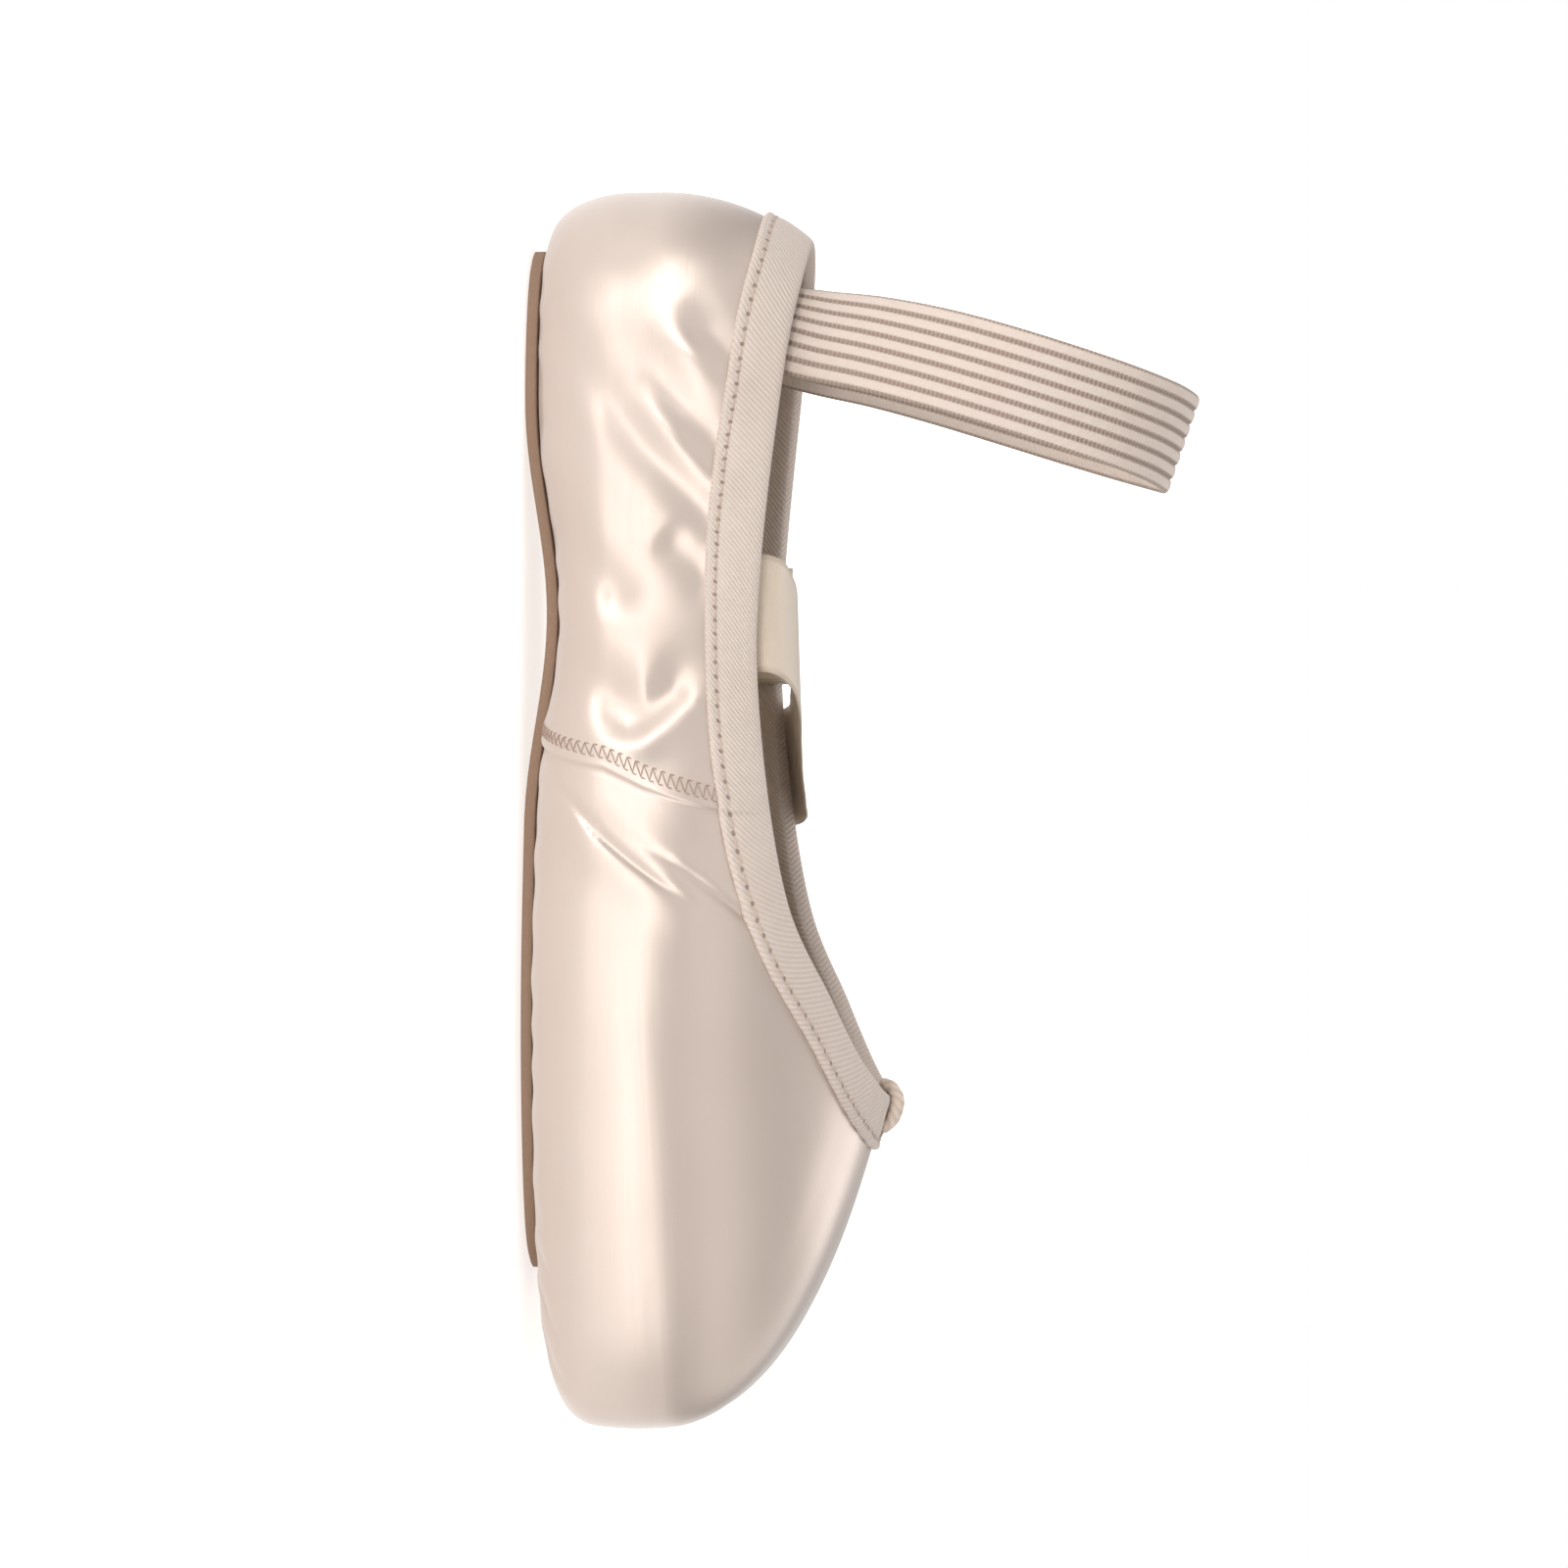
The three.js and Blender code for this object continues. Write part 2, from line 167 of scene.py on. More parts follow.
def placeCamera(settings):
    azimuth, elevation, roll = [math.radians(settings[key]) for key in ("azimuth", "elevation", "roll")]
    back = Vector((
        math.sin(azimuth) * math.cos(elevation),
        -math.cos(azimuth) * math.cos(elevation),
        math.sin(elevation),
    ))
    level = Vector((0, 0, 1)).cross(back).normalized()
    upright = back.cross(level)
    right = level * math.cos(roll) + upright * math.sin(roll)
    up = upright * math.cos(roll) - level * math.sin(roll)
    data = bpy.data.cameras.new("camera")
    data.lens = settings["lens"]
    camera = addObject("camera", data)
    turn = Matrix((right, up, back)).transposed().to_4x4()
    camera.matrix_world = Matrix.Translation(Vector(settings["target"]) + back * settings["distance"]) @ turn
    bpy.context.scene.camera = camera


placeCamera(viewpoint)
print("camera placed")


# Curves through rows of values, one row to a whole step
def splineAt(rows, at, closed=False, even=False):
    rows = np.asarray(rows, float)
    count = len(rows)
    at = np.asarray(at, float)
    if closed:
        at = at % count
        index = np.floor(at).astype(int) % count
        before, here, after, beyond = [rows[(index + step) % count] for step in (-1, 0, 1, 2)]
    else:
        at = np.clip(at, 0, count - 1)
        index = np.minimum(np.floor(at).astype(int), count - 2)
        longer = np.vstack([2 * rows[0] - rows[1], rows, 2 * rows[-1] - rows[-2]])
        before, here, after, beyond = [longer[index + step] for step in range(4)]
    if even:
        leave, arrive = (after - before) / 2, (beyond - here) / 2
    else:
        gaps = [np.sqrt(np.linalg.norm(b - a, axis=-1, keepdims=True))
                for a, b in ((before, here), (here, after), (after, beyond))]
        first, middle, final = gaps
        leave = (here - before) / first - (after - before) / (first + middle) + (after - here) / middle
        arrive = (after - here) / middle - (beyond - here) / (middle + final) + (beyond - after) / final
        leave, arrive = leave * middle, arrive * middle
    share = (at - index)[..., None]
    return (here + leave * share + (3 * after - 3 * here - 2 * leave - arrive) * share ** 2
            + (2 * here - 2 * after + leave + arrive) * share ** 3)


def smooth(low, high, value):
    share = np.clip((value - low) / (high - low), 0, 1)
    return share * share * (3 - 2 * share)


def bell(value, width):
    return np.exp(-(value / width) ** 2)


def unit(vectors):
    return vectors / np.linalg.norm(vectors, axis=-1, keepdims=True)


# Mesh from a grid of points in millimetres: rows along the piece, and columns that close round it.
# A ring closes along its length too, and any other piece is capped at both ends.
def gridPiece(name, node, points, finishes, flat, ring=False, shares=None, marks=None):
    rows, columns = points.shape[:2]
    row, column = np.indices((rows if ring else rows - 1, columns)).reshape(2, -1)
    nextRow, nextColumn = (row + 1) % rows, (column + 1) % columns
    corners = [(row, column), (row, nextColumn), (nextRow, nextColumn), (nextRow, column)]
    quads = np.stack([a * columns + b for a, b in corners], axis=1)
    spots = points.reshape(-1, 3)
    a, b, c, d = [spots[quads[:, index]] for index in range(4)]
    inward = np.sum(a * np.cross(b, c)) + np.sum(a * np.cross(c, d)) < 0
    flatCorners = [(row, column), (row, column + 1), (row + 1, column + 1), (row + 1, column)]
    places = np.stack([flat[corner] for corner in flatCorners], axis=1)
    if inward:
        quads, places = quads[:, ::-1], places[:, ::-1]
    faces = quads.tolist()
    if not ring:
        firstCap = np.arange(columns)
        lastCap = firstCap + (rows - 1) * columns
        faces.append((firstCap[::-1] if inward else firstCap).tolist())
        faces.append((lastCap if inward else lastCap[::-1]).tolist())
    mesh = bpy.data.meshes.new(name)
    mesh.from_pydata((spots * mm).tolist(), [], faces)
    cloth = np.zeros((len(mesh.loops), 2), np.float32)
    cloth[:places.shape[0] * 4] = places.reshape(-1, 2)
    mesh.uv_layers.new(name="cloth").data.foreach_set("uv", cloth.ravel())
    for mark, values in (marks or {}).items():
        attribute = mesh.attributes.new(mark, "FLOAT", "POINT")
        attribute.data.foreach_set("value", np.asarray(values, np.float32).ravel())
    for finish in finishes:
        mesh.materials.append(finish)
    if shares is not None:
        chosen = np.zeros(len(mesh.polygons), np.int32)
        chosen[:len(quads)] = np.asarray(shares)[column]
        mesh.polygons.foreach_set("material_index", chosen)
    return addPiece(name, node, mesh)


def addPiece(name, node, mesh):
    mesh.polygons.foreach_set("use_smooth", np.ones(len(mesh.polygons), bool))
    mesh.update()
    piece = addObject(name, mesh)
    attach(piece, "root")
    if node:
        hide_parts(node)
    return piece


def flatPlaces(along, across):  # places on the flat cloth for a grid of points
    return np.stack(np.broadcast_arrays(along[:, None], across), axis=-1)


def lengthsAlong(points, closed=False):
    steps = np.linalg.norm(np.diff(points, axis=0), axis=-1)
    walked = np.concatenate([[0], np.cumsum(steps)])
    if closed:
        walked = np.append(walked, walked[-1] + np.linalg.norm(points[0] - points[-1]))
    return walked


# The shoe's own form, in millimetres: the same function as its solids
last = {
    "length": 230.0, "ballWidth": 88.0, "throatHeight": 67.0,
    "archRise": 3.6, "toeSpring": 1.2, "archStart": -74.0, "archEnd": 4.0, "springStart": 70.0,
    "quarterWall": 1.6, "boxWall": 3.0, "boxStart": 5.0, "boxFull": 60.0, "thinningLevel": 3.4,
    "fitGap": 0.3, "outsoleThickness": 2.4, "outsoleSkive": 0.7,
    "insoleThickness": 1.6, "insoleGrow": 1.5, "insoleSeat": 0.5,
    "lastedMargin": 7.0, "heelRoundness": 2.1, "toeRoundness": 2.8,
    "seamAt": 4.7, "seamLean": 0.28,
    "levelHeights": ((1, 2, 3, 4), (0, 0.32, 0.52, 1)),  # and shares of the way up to the rim
    "waistStep": 64.0, "heelStep": 42.0,  # mm to a step of the table, at side seam and back
}
# A row for each section of one side, from the toe round to the heel, as shares of the sizes above
sectionColumns = ("soleX", "soleY", "sideX", "sideY", "lowZ", "highZ", "rimX", "rimY", "rimZ", "turn")
sections = np.array([
    [0.752, 0, 1, 0, 0.23, 0.4, 0.478, 0, 0.985, 52],
    [0.735, 0.2, 0.985, 0.535, 0.23, 0.4, 0.462, 0.225, 0.967, 55],
    [0.687, 0.36, 0.913, 0.7, 0.23, 0.4, 0.415, 0.4, 0.92, 58],
    [0.55, 0.5, 0.665, 0.895, 0.23, 0.39, 0.32, 0.55, 0.845, 60],
    [0.305, 0.56, 0.28, 1, 0.24, 0.36, 0.165, 0.72, 0.73, 54],
    [-0.3, 0.33, -0.28, 0.8, 0.25, 0.36, -0.23, 0.74, 0.645, 36],
    [-0.7, 0.45, -0.7, 0.69, 0.25, 0.36, -0.7, 0.575, 0.71, 36],
    [-0.85, 0.29, -0.925, 0.46, 0.27, 0.36, -0.855, 0.35, 0.752, 40],
    [-0.905, 0, -1, 0, 0.28, 0.36, -0.915, 0, 0.766, 42],
])
halfCount = len(sections) - 1
fullCount = 2 * halfCount


def railRows(x, y, z):
    rows = []
    for index in range(fullCount):
        share = dict(zip(sectionColumns, sections[min(index, fullCount - index)]))
        side = -1 if index > halfCount else 1
        tall = share[z] if z == "turn" else share[z] * last["throatHeight"]
        rows.append((share[x] * last["length"] / 2, side * share[y] * last["ballWidth"] / 2, tall))
    return np.array(rows)


rails = {
    "sole": railRows("soleX", "soleY", "turn"),
    "low": railRows("sideX", "sideY", "lowZ"),
    "high": railRows("sideX", "sideY", "highZ"),
    "rim": railRows("rimX", "rimY", "rimZ"),
}


def soleLift(x):
    along = np.clip((x - last["archStart"]) / (last["archEnd"] - last["archStart"]), 0, 1)
    ahead = np.maximum(0, (x - last["springStart"]) / (last["length"] / 2 - last["springStart"]))
    return last["archRise"] * np.sin(math.pi * along) ** 2 + last["toeSpring"] * ahead ** 2


def soleEdge(around, grow):
    here = splineAt(rails["sole"], around, True)[..., :2]
    along = splineAt(rails["sole"], around + 0.02, True) - splineAt(rails["sole"], around - 0.02, True)
    outward = unit(np.stack([along[..., 1], -along[..., 0]], axis=-1))
    return here + outward * np.asarray(grow)[..., None]


def upperBottom(x):
    return soleLift(x) + last["outsoleThickness"] + last["fitGap"]


# Levels on a section: 0 the lasted margin, 1 the edge of the sole, 2 and 3 the upright side, 4 the rim
def skin(around, level):
    around, level = np.broadcast_arrays(np.asarray(around, float), np.asarray(level, float))
    sole, low, high, rim = [splineAt(rails[name], around, True) for name in ("sole", "low", "high", "rim")]
    margin = soleEdge(around, -last["lastedMargin"] * (1 - np.minimum(level, 1)))
    under = np.concatenate([margin, upperBottom(margin[..., :1])], axis=-1)
    angle = np.clip(level - 1, 0, 1) * math.pi / 2
    blend = smooth(last["archStart"], last["boxFull"], sole[..., 0])
    power = 2 / (last["heelRoundness"] + (last["toeRoundness"] - last["heelRoundness"]) * blend)
    out, down = np.sin(angle) ** power, np.maximum(np.cos(angle), 0) ** power
    plan = sole[..., :2] + (low[..., :2] - sole[..., :2]) * out[..., None]
    tall = low[..., 2] - (low[..., 2] - upperBottom(plan[..., 0])) * down
    bulge = np.concatenate([plan, tall[..., None]], axis=-1)
    side = low + (high - low) * np.clip(level - 2, 0, 1)[..., None]
    turn = np.radians(sole[..., 2])
    angle = turn * np.clip(level - 3, 0, 1)
    inward, upward = (1 - np.cos(angle)) / (1 - np.cos(turn)), np.sin(angle) / np.sin(turn)
    over = high + (rim - high) * np.stack([inward, inward, upward], axis=-1)
    band = level[..., None]
    return np.where(band <= 1, under, np.where(band <= 2, bulge, np.where(band <= 3, side, over)))


def skinNormal(around, level):
    along = skin(around + 0.01, level) - skin(around - 0.01, level)
    upward = skin(around, np.minimum(level + 0.01, 4)) - skin(around, np.maximum(level - 0.01, 0))
    return unit(np.cross(along, upward))


def wallAt(x, level):
    towardsRim = smooth(last["thinningLevel"], 4, level)
    extra = last["boxWall"] - last["quarterWall"]
    return last["quarterWall"] + extra * smooth(last["boxStart"], last["boxFull"], x) * (1 - towardsRim)


def leaning(line, level):  # lines near the side seam lean with it
    side = np.minimum(line, fullCount - line)
    floor, ceiling = math.floor(last["seamAt"]), math.ceil(last["seamAt"])
    before = (side - floor) / (last["seamAt"] - floor)
    after = (ceiling - side) / (ceiling - last["seamAt"])
    height = np.interp(level, *last["levelHeights"])
    lean = last["seamLean"] * np.clip(np.minimum(before, after), 0, None) * height
    return np.where(line < halfCount, line - lean, line + lean)


# Ribbons: one hangs across the opening, and both lie loose on the floor behind the shoe
ribbonStyle = {
    "width": 22.0, "thickness": 0.4, "strips": 14, "stepsPerRow": 9,
    "flutter": 0.35, "flutterFrom": (60.0, 90.0), "lowest": 0.12,  # ripple of the loose part, lowest point
    "colour": linear(206, 190, 172), "shade": linear(188, 170, 150),
    "ribPitch": 0.55, "edgeThreadPitch": 0.42, "selvedge": (1.3, 0.9),
}
# Rows of x, y, z, heading and tilt
ribbonInnerRoute = [
    [-35, -29.6, 28, -4, 0], [-35, -29, 35, -4, 0], [-35, -28, 42, -5, 0], [-34.2, -26, 47, -12, 0],
    [-31.4, -20, 49.8, -22, 1], [-27, -11, 50.4, -24, 3], [-21, 2, 49.4, -24, 5], [-15.4, 15, 48.4, -22, 7],
    [-11.4, 25, 48, -16, 8], [-9, 32, 47.4, -6, 8], [-7.8, 36.8, 44.4, 3, 8], [-7.2, 40.2, 36, 8, 6],
    [-6.8, 42, 26, 9, 4], [-6.2, 43, 15, 8, 2], [-4, 47.4, 5.4, -6, 0], [2, 56, 0, -32, 0],
    [14, 66, 0, -58, 0], [32, 73, 0, -74, 0], [54, 77, 0, -84, 0], [74, 79, 0, -86, 8],
    [90, 83, 0, -74, 36], [101, 93, 0, -38, 60], [103, 106, 0, 6, 62], [93, 117, 0, 56, 50],
    [75, 121, 0, 86, 20], [56, 119, 0, 96, 0], [40, 120, 0, 86, -10], [25, 126, 0, 62, -40],
    [15, 138, 0, 22, -60], [18, 151, 0, -22, -58], [32, 159, 0, -62, -42], [52, 162, 0, -88, -14],
    [72, 160, 0, -94, 0], [94, 161, 0, -86, 0],
]
ribbonOuterRoute = [
    [-35, 29.2, 28, 4, 0], [-35, 28.8, 35, 4, 0], [-35, 28, 42, 4, 0], [-35, 28.9, 45, 4, 0],
    [-35, 31.2, 46.2, 4, 0], [-35, 33.9, 45.2, 4, 0], [-35, 35.2, 42, 5, 0], [-35, 36.8, 34, 6, 0],
    [-35, 37.4, 24, 7, 0], [-35.4, 39, 13, 7, 0], [-37, 43.6, 4.6, 10, 0], [-41, 51.6, 0, 30, 0],
    [-52, 62, 0, 56, 0], [-70, 69, 0, 74, -6], [-87, 74, 0, 70, -34], [-99, 84, 0, 38, -58],
    [-101, 97, 0, -6, -62], [-92, 109, 0, -52, -52], [-74, 114, 0, -84, -20], [-54, 113, 0, -94, 0],
    [-34, 114, 0, -84, 12], [-18, 120, 0, -60, 40], [-8, 132, 0, -20, 60], [-11, 145, 0, 24, 58],
    [-25, 154, 0, 64, 42], [-46, 157, 0, 88, 12], [-66, 156, 0, 92, -4], [-85, 159, 0, 74, -36],
    [-97, 169, 0, 38, -58], [-99, 182, 0, -6, -62], [-90, 193, 0, -54, -50], [-72, 198, 0, -84, -18],
    [-50, 198, 0, -92, 0], [-28, 200, 0, -86, 0],
]


# Middle line and directions of a flat band along rows of x, y, z, heading, tilt and cup
def bandFrame(route, width, thickness, stepsPerRow, floorGap=0.2):
    rows = np.array([[*row, 0][:6] for row in route], float)
    at = np.linspace(0, len(rows) - 1, (len(rows) - 1) * stepsPerRow + 1)
    middle = splineAt(rows[:, :3], at)
    along = unit(splineAt(rows[:, :3], at + 0.01) - splineAt(rows[:, :3], at - 0.01))
    facing = splineAt(rows[:, 3:], at, even=True)
    heading, tilt = np.radians(facing[:, 0]), np.radians(facing[:, 1])
    across = np.stack([np.cos(heading) * np.cos(tilt), np.sin(heading) * np.cos(tilt), np.sin(tilt)], axis=-1)
    across = unit(across - along * np.sum(across * along, axis=-1, keepdims=True))
    off = np.cross(along, across)
    reach = width / 2 * np.abs(across[:, 2]) + thickness / 2 * np.abs(off[:, 2])
    middle[:, 2] = np.maximum(middle[:, 2], reach + floorGap)
    return middle, across, off, facing[:, 2]


# Both faces of a band, as one ring of columns, and its places on the flat cloth
def bandSheet(middle, across, off, spots, width, lift, half):
    faces = []
    for side in (1, -1):
        raised = off[:, None] * (lift + side * half)[..., None]
        face = middle[:, None] + across[:, None] * (spots * width / 2)[:, None] + raised
        faces.append(face[:, ::side])
    sideways = np.concatenate([spots, spots[::-1], spots[:1]]) * width / 2
    return np.concatenate(faces, axis=1), flatPlaces(lengthsAlong(middle), sideways)


def ribbonFinish(style):
    finish = Finish("ribbon_cloth")
    along, across = finish.cloth()
    rib = along.wave(style["ribPitch"])
    edge = across.maths("ABSOLUTE").within(*[style["width"] / 2 - inset for inset in style["selvedge"]])
    thread = across.wave(style["edgeThreadPitch"])
    grain = finish.noise(900.0, 2.0)
    soft = finish.noise(55.0, 2.0)
    tone = finish.blend(soft * 0.5 + grain * 0.25 + edge * 0.25, style["colour"], style["shade"])
    height = rib * (1 - edge) + thread * edge * 1.6 + edge * 0.8 + grain * 0.5
    return finish.surface({
        "Base Color": tone,
        "Roughness": 0.42 + grain * 0.12 + edge * 0.15,
        "Normal": finish.bump(height, 0.00007, 0.5),
        "Sheen Weight": 0.25,
        "Sheen Roughness": 0.4,
    })


def makeRibbon(name, node, route, style, finish):
    middle, across, off = bandFrame(route, style["width"], style["thickness"], style["stepsPerRow"])[:3]
    walked = lengthsAlong(middle)
    spots = np.linspace(-1, 1, style["strips"] + 1)
    waves = np.sin(walked / 13 + 0.7)[:, None] * spots ** 2 + 0.6 * np.sin(walked / 21)[:, None] * spots
    ripple = waves * (smooth(*style["flutterFrom"], walked) * style["flutter"])[:, None]
    points, flat = bandSheet(middle, across, off, spots, style["width"], ripple, style["thickness"] / 2)
    points[..., 2] = np.maximum(points[..., 2], style["lowest"])
    piece = gridPiece(name, node, points, [finish], flat)
    style["width"] * mm
    print(name, "is", round(float(walked[-1])), "mm long")


ribbonCloth = ribbonFinish(ribbonStyle)
makeRibbon("ribbon_of_inner_side", "ribbon_inner", ribbonInnerRoute, ribbonStyle, ribbonCloth)
makeRibbon("ribbon_of_outer_side", "ribbon_outer", ribbonOuterRoute, ribbonStyle, ribbonCloth)


# Satin upper: folds are soft troughs and ridges on the sides, given by their places along and above the sole
upperStyle = {
    "colour": linear(197, 182, 172), "shade": linear(189, 173, 162), "roughness": 0.28, "metallic": 0.48,
    # The brown colour is painted shade along the edge of the sole, over these levels; it also colours the
    # back seam line
    "soleShade": linear(150, 122, 102), "soleShadeLevels": (1.0, 1.09),
    "lining": linear(226, 215, 200), "liningShade": linear(205, 190, 172), "liningPitch": 0.9,
    "seamRise": 0.5, "seamBack": (-4.4, -0.6), "seamFront": (1.3, 1.75),  # the overlap, from back to front
    "seamLines": [(0.9, 0.5, 0.16), (2.4, 0.6, -0.12)],  # place ahead of the seam, half width, rise
    "backSeam": (0.45, -0.22), "backThread": (0.35, 0.9),  # half width, and rise or tone
    "pleatPitch": 5.2, "pleatDepth": 0.7, "pleatSteps": (2.2, 3.2),  # fading out over these steps
    "pullPitch": 9.5, "pullRise": 0.13,  # ripples along the edge of the sole
    "bellyHeight": 21.0, "bellyWidth": 9.0, "bellyRise": 0.8, "bellyFrom": (10.0, 45.0),  # full sides ahead
    "swayRise": 0.1, "fineSwayRise": 0.07,
    "linesPerMm": 0.8, "creasedPerMm": 1.5, "seamPerMm": 3.0,
    "creasedSteps": (3.9, 4.9), "seamReach": 0.075, "backReach": 0.05,
}
innerFolds = [  # path of x and z, half width, rise
    ([(-93, 29.5), (-86, 35), (-80, 39)], 3.8, -0.95),
    ([(-89, 24.5), (-82, 33), (-77, 39.5)], 3.4, 0.95),
    ([(-83, 21.5), (-71.6, 30), (-62, 37.5)], 4.1, -1.31),
    ([(-75, 21), (-66, 30), (-58.5, 37.5)], 3.8, 1.21),
    ([(-86, 6.5), (-72.5, 17.9), (-59.3, 29.4), (-50.2, 37.5)], 4, -1.16),
    ([(-50, 26.5), (-47, 29.4), (-41, 35)], 3.5, -0.84),
    ([(-58, 4.8), (-47.6, 10.4), (-38, 18)], 3.8, -0.95),
    ([(-105, 12.5), (-102.5, 16.5)], 5.5, -0.8),
    ([(-94, 8), (-90.5, 9.5)], 4.5, 0.6),
    ([(-76, 3.5), (-72, 5)], 3.8, -0.53),
    ([(-30, 7), (-22, 14), (-16, 24), (-19.5, 29.5)], 4.4, -1.5),
    ([(-18, 6), (-11.5, 15), (-9.5, 22), (-13.5, 27), (-18, 32)], 3.2, 0.95),
    ([(-42, 8), (-32, 16), (-25, 24)], 5, 0.7),
    ([(-5.5, 4), (-1.5, 9), (6.7, 16.8), (14.7, 26.5), (21.4, 36.8)], 0.85, -0.8),
    ([(7.3, 22.7), (13.1, 31.8), (20.5, 41.8), (25, 45.5)], 0.85, -0.75),
    ([(-4.5, 11.3), (3.9, 20.6), (10.5, 30)], 3.6, 0.5),
    ([(4, 10), (13, 20.5), (21, 32)], 4.2, 0.45),
    ([(2, 4.5), (12.4, 10.4)], 3.2, -0.53),
]
outerFolds = [
    ([(-95, 28), (-87, 35), (-82, 39)], 4, -0.84),
    ([(-86, 23), (-77, 33), (-72, 38.5)], 3.8, 0.89),
    ([(-80, 15), (-68, 26), (-57, 37)], 4.2, -1.21),
    ([(-70, 15), (-60, 27), (-52, 36)], 4, 0.95),
    ([(-60, 6), (-49, 14), (-41, 24)], 4, -0.95),
    ([(-103, 13), (-100.5, 18)], 5.5, -0.7),
    ([(-33, 8), (-25, 16), (-19, 25), (-22, 30.5)], 4.4, -1.35),
    ([(-19, 6), (-13.5, 15), (-12, 22), (-16, 28)], 3.5, 0.89),
    ([(-4.5, 4.5), (1, 10), (9, 18.5), (17, 29), (22.5, 37.5)], 1, -0.7),
    ([(6, 21), (12.5, 30.5), (19, 39.5)], 1, -0.6),
    ([(-2, 13), (6, 22), (12, 30)], 2.3, 0.5),
]


def foldRise(points):
    rise = np.zeros(points.shape[:-1])
    for side, folds in ((-1, innerFolds), (1, outerFolds)):
        chosen = points[..., 1] * side > 4  # clear of toe and heel
        spots = points[chosen][:, [0, 2]]
        total = np.zeros(len(spots))
        for path, width, height in folds:
            line = splineAt(path, np.linspace(0, len(path) - 1, 8 * len(path)))
            reach = np.ptp(line, axis=0).max() + 4 * width
            close = np.linalg.norm(spots - line.mean(0), axis=1) < reach
            gap, begun = np.full(close.sum(), 99.0), np.zeros(close.sum())
            for index, (start, end) in enumerate(zip(line, line[1:])):
                run = end - start
                share = np.clip((spots[close] - start) @ run / (run @ run), 0, 1)
                away = np.linalg.norm(spots[close] - start - share[:, None] * run, axis=1)
                begun = np.where(away < gap, (index + share) / (len(line) - 1), begun)
                gap = np.minimum(gap, away)
            swell = smooth(-0.1, 0.5, begun) if len(path) > 2 else 1.0  # long folds start softly
            if width < 2:  # narrow creases run out at both ends
                swell = swell * (1 - smooth(0.7, 1.0, begun))
            total[close] += height * swell * bell(gap, width)
        rise[chosen] = total
    return rise


toeSteps = np.linspace(0, halfCount / 2, 401)
toeWalked = lengthsAlong(splineAt(rails["sole"], toeSteps, True)[:, :2])


# How far the satin stands off the plain form
def clothRise(line, level, points, down):
    style = upperStyle
    side = np.minimum(line, fullCount - line)
    x, y, z = np.moveaxis(points, -1, 0)
    toToe = (last["seamAt"] - side) * last["waistStep"]  # millimetres ahead of the side seam
    seam = style["seamRise"] * smooth(*style["seamBack"], toToe) * (1 - smooth(*style["seamFront"], toToe))
    for place, width, rise in style["seamLines"]:
        seam = seam + rise * bell(toToe - place, width)
    width, rise = style["backSeam"]
    backSeam = rise * bell((line - halfCount) * last["heelStep"], width)
    sway = style["swayRise"] * np.sin(x / 8.5 + y / 15 + 0.4) * np.sin(z / 7.5 + x / 30)
    sway = (sway + style["fineSwayRise"] * np.sin(x / 4.6 - z / 5.2 + 1.1)) * (1 - 0.75 * smooth(20, 50, x))
    onSide = smooth(1.0, 1.12, level)
    relief = (foldRise(points) + sway) * smooth(1.0, 11.0, down) + seam * smooth(0.0, 10.0, down) + backSeam
    along = np.interp(side, toeSteps, toeWalked)
    pleat = np.abs(np.sin(math.pi * (along + 1.4 * np.sin(along / 6.1)) / style["pleatPitch"])) ** 0.7
    pleats = -style["pleatDepth"] * (1 - pleat) * (1 - smooth(*style["pleatSteps"], side))
    pleats = pleats * smooth(1.0, 1.06, level) * (1 - smooth(1.35, 2.0, level))
    pull = style["pullRise"] * np.sin(tau * (x + 1.8 * np.sin(x / 7)) / style["pullPitch"])
    pull = pull * smooth(1.0, 1.1, level) * (1 - smooth(1.2, 1.75, level))
    belly = style["bellyRise"] * bell(z - style["bellyHeight"], style["bellyWidth"])
    belly = belly * smooth(*style["bellyFrom"], x)
    return relief * onSide + pleats + belly + pull


def upperLines(style):  # places round the shoe, closer together at creases and seams
    fine = np.linspace(0, halfCount, 4001)
    rail = splineAt(rails["high"], fine, True)
    creasedFrom, creasedTo = style["creasedSteps"]
    creased = (fine > creasedFrom) & (fine < creasedTo)
    onSeam = (np.abs(fine - last["seamAt"]) < style["seamReach"]) | (fine > halfCount - style["backReach"])
    rate = np.where(onSeam, style["seamPerMm"], np.where(creased, style["creasedPerMm"], style["linesPerMm"]))
    walked = np.append(0, np.cumsum(np.linalg.norm(np.diff(rail, axis=0), axis=1) * rate[1:]))
    half = np.interp(np.linspace(0, walked[-1], int(walked[-1])), walked, fine)
    return np.concatenate([half, fullCount - half[-2:0:-1]])


def spacedLevels(places, counts):
    runs = [np.linspace(low, high, count)[:-1] for low, high, count in zip(places, places[1:], counts)]
    return np.append(np.concatenate(runs), places[-1])


lines = upperLines(upperStyle)
outerLevels = spacedLevels((0, 1, 1.25, 2, 3, 4), (4, 12, 24, 10, 60))
innerLevels = spacedLevels((0, 1, 2, 4), (3, 14, 26))


def wallSheet(levels, inside=False):
    line, level = np.meshgrid(lines, levels, indexing="ij")
    around = leaning(line, level)
    points, normals = skin(around, level), skinNormal(around, level)
    walked = np.cumsum(np.linalg.norm(np.diff(points[:, ::-1], axis=1), axis=-1), axis=1)
    down = np.concatenate([np.zeros((len(lines), 1)), walked], axis=1)[:, ::-1]
    rise = clothRise(line, level, points, down)
    if inside:
        rise = rise * smooth(1.15, 1.6, level) * 0.9 - wallAt(points[..., 0], level)
    return points + normals * rise[..., None], normals, down


outerWall, outerNormals, outerDown = wallSheet(outerLevels)
innerWall, innerNormals, innerDown = wallSheet(innerLevels, True)


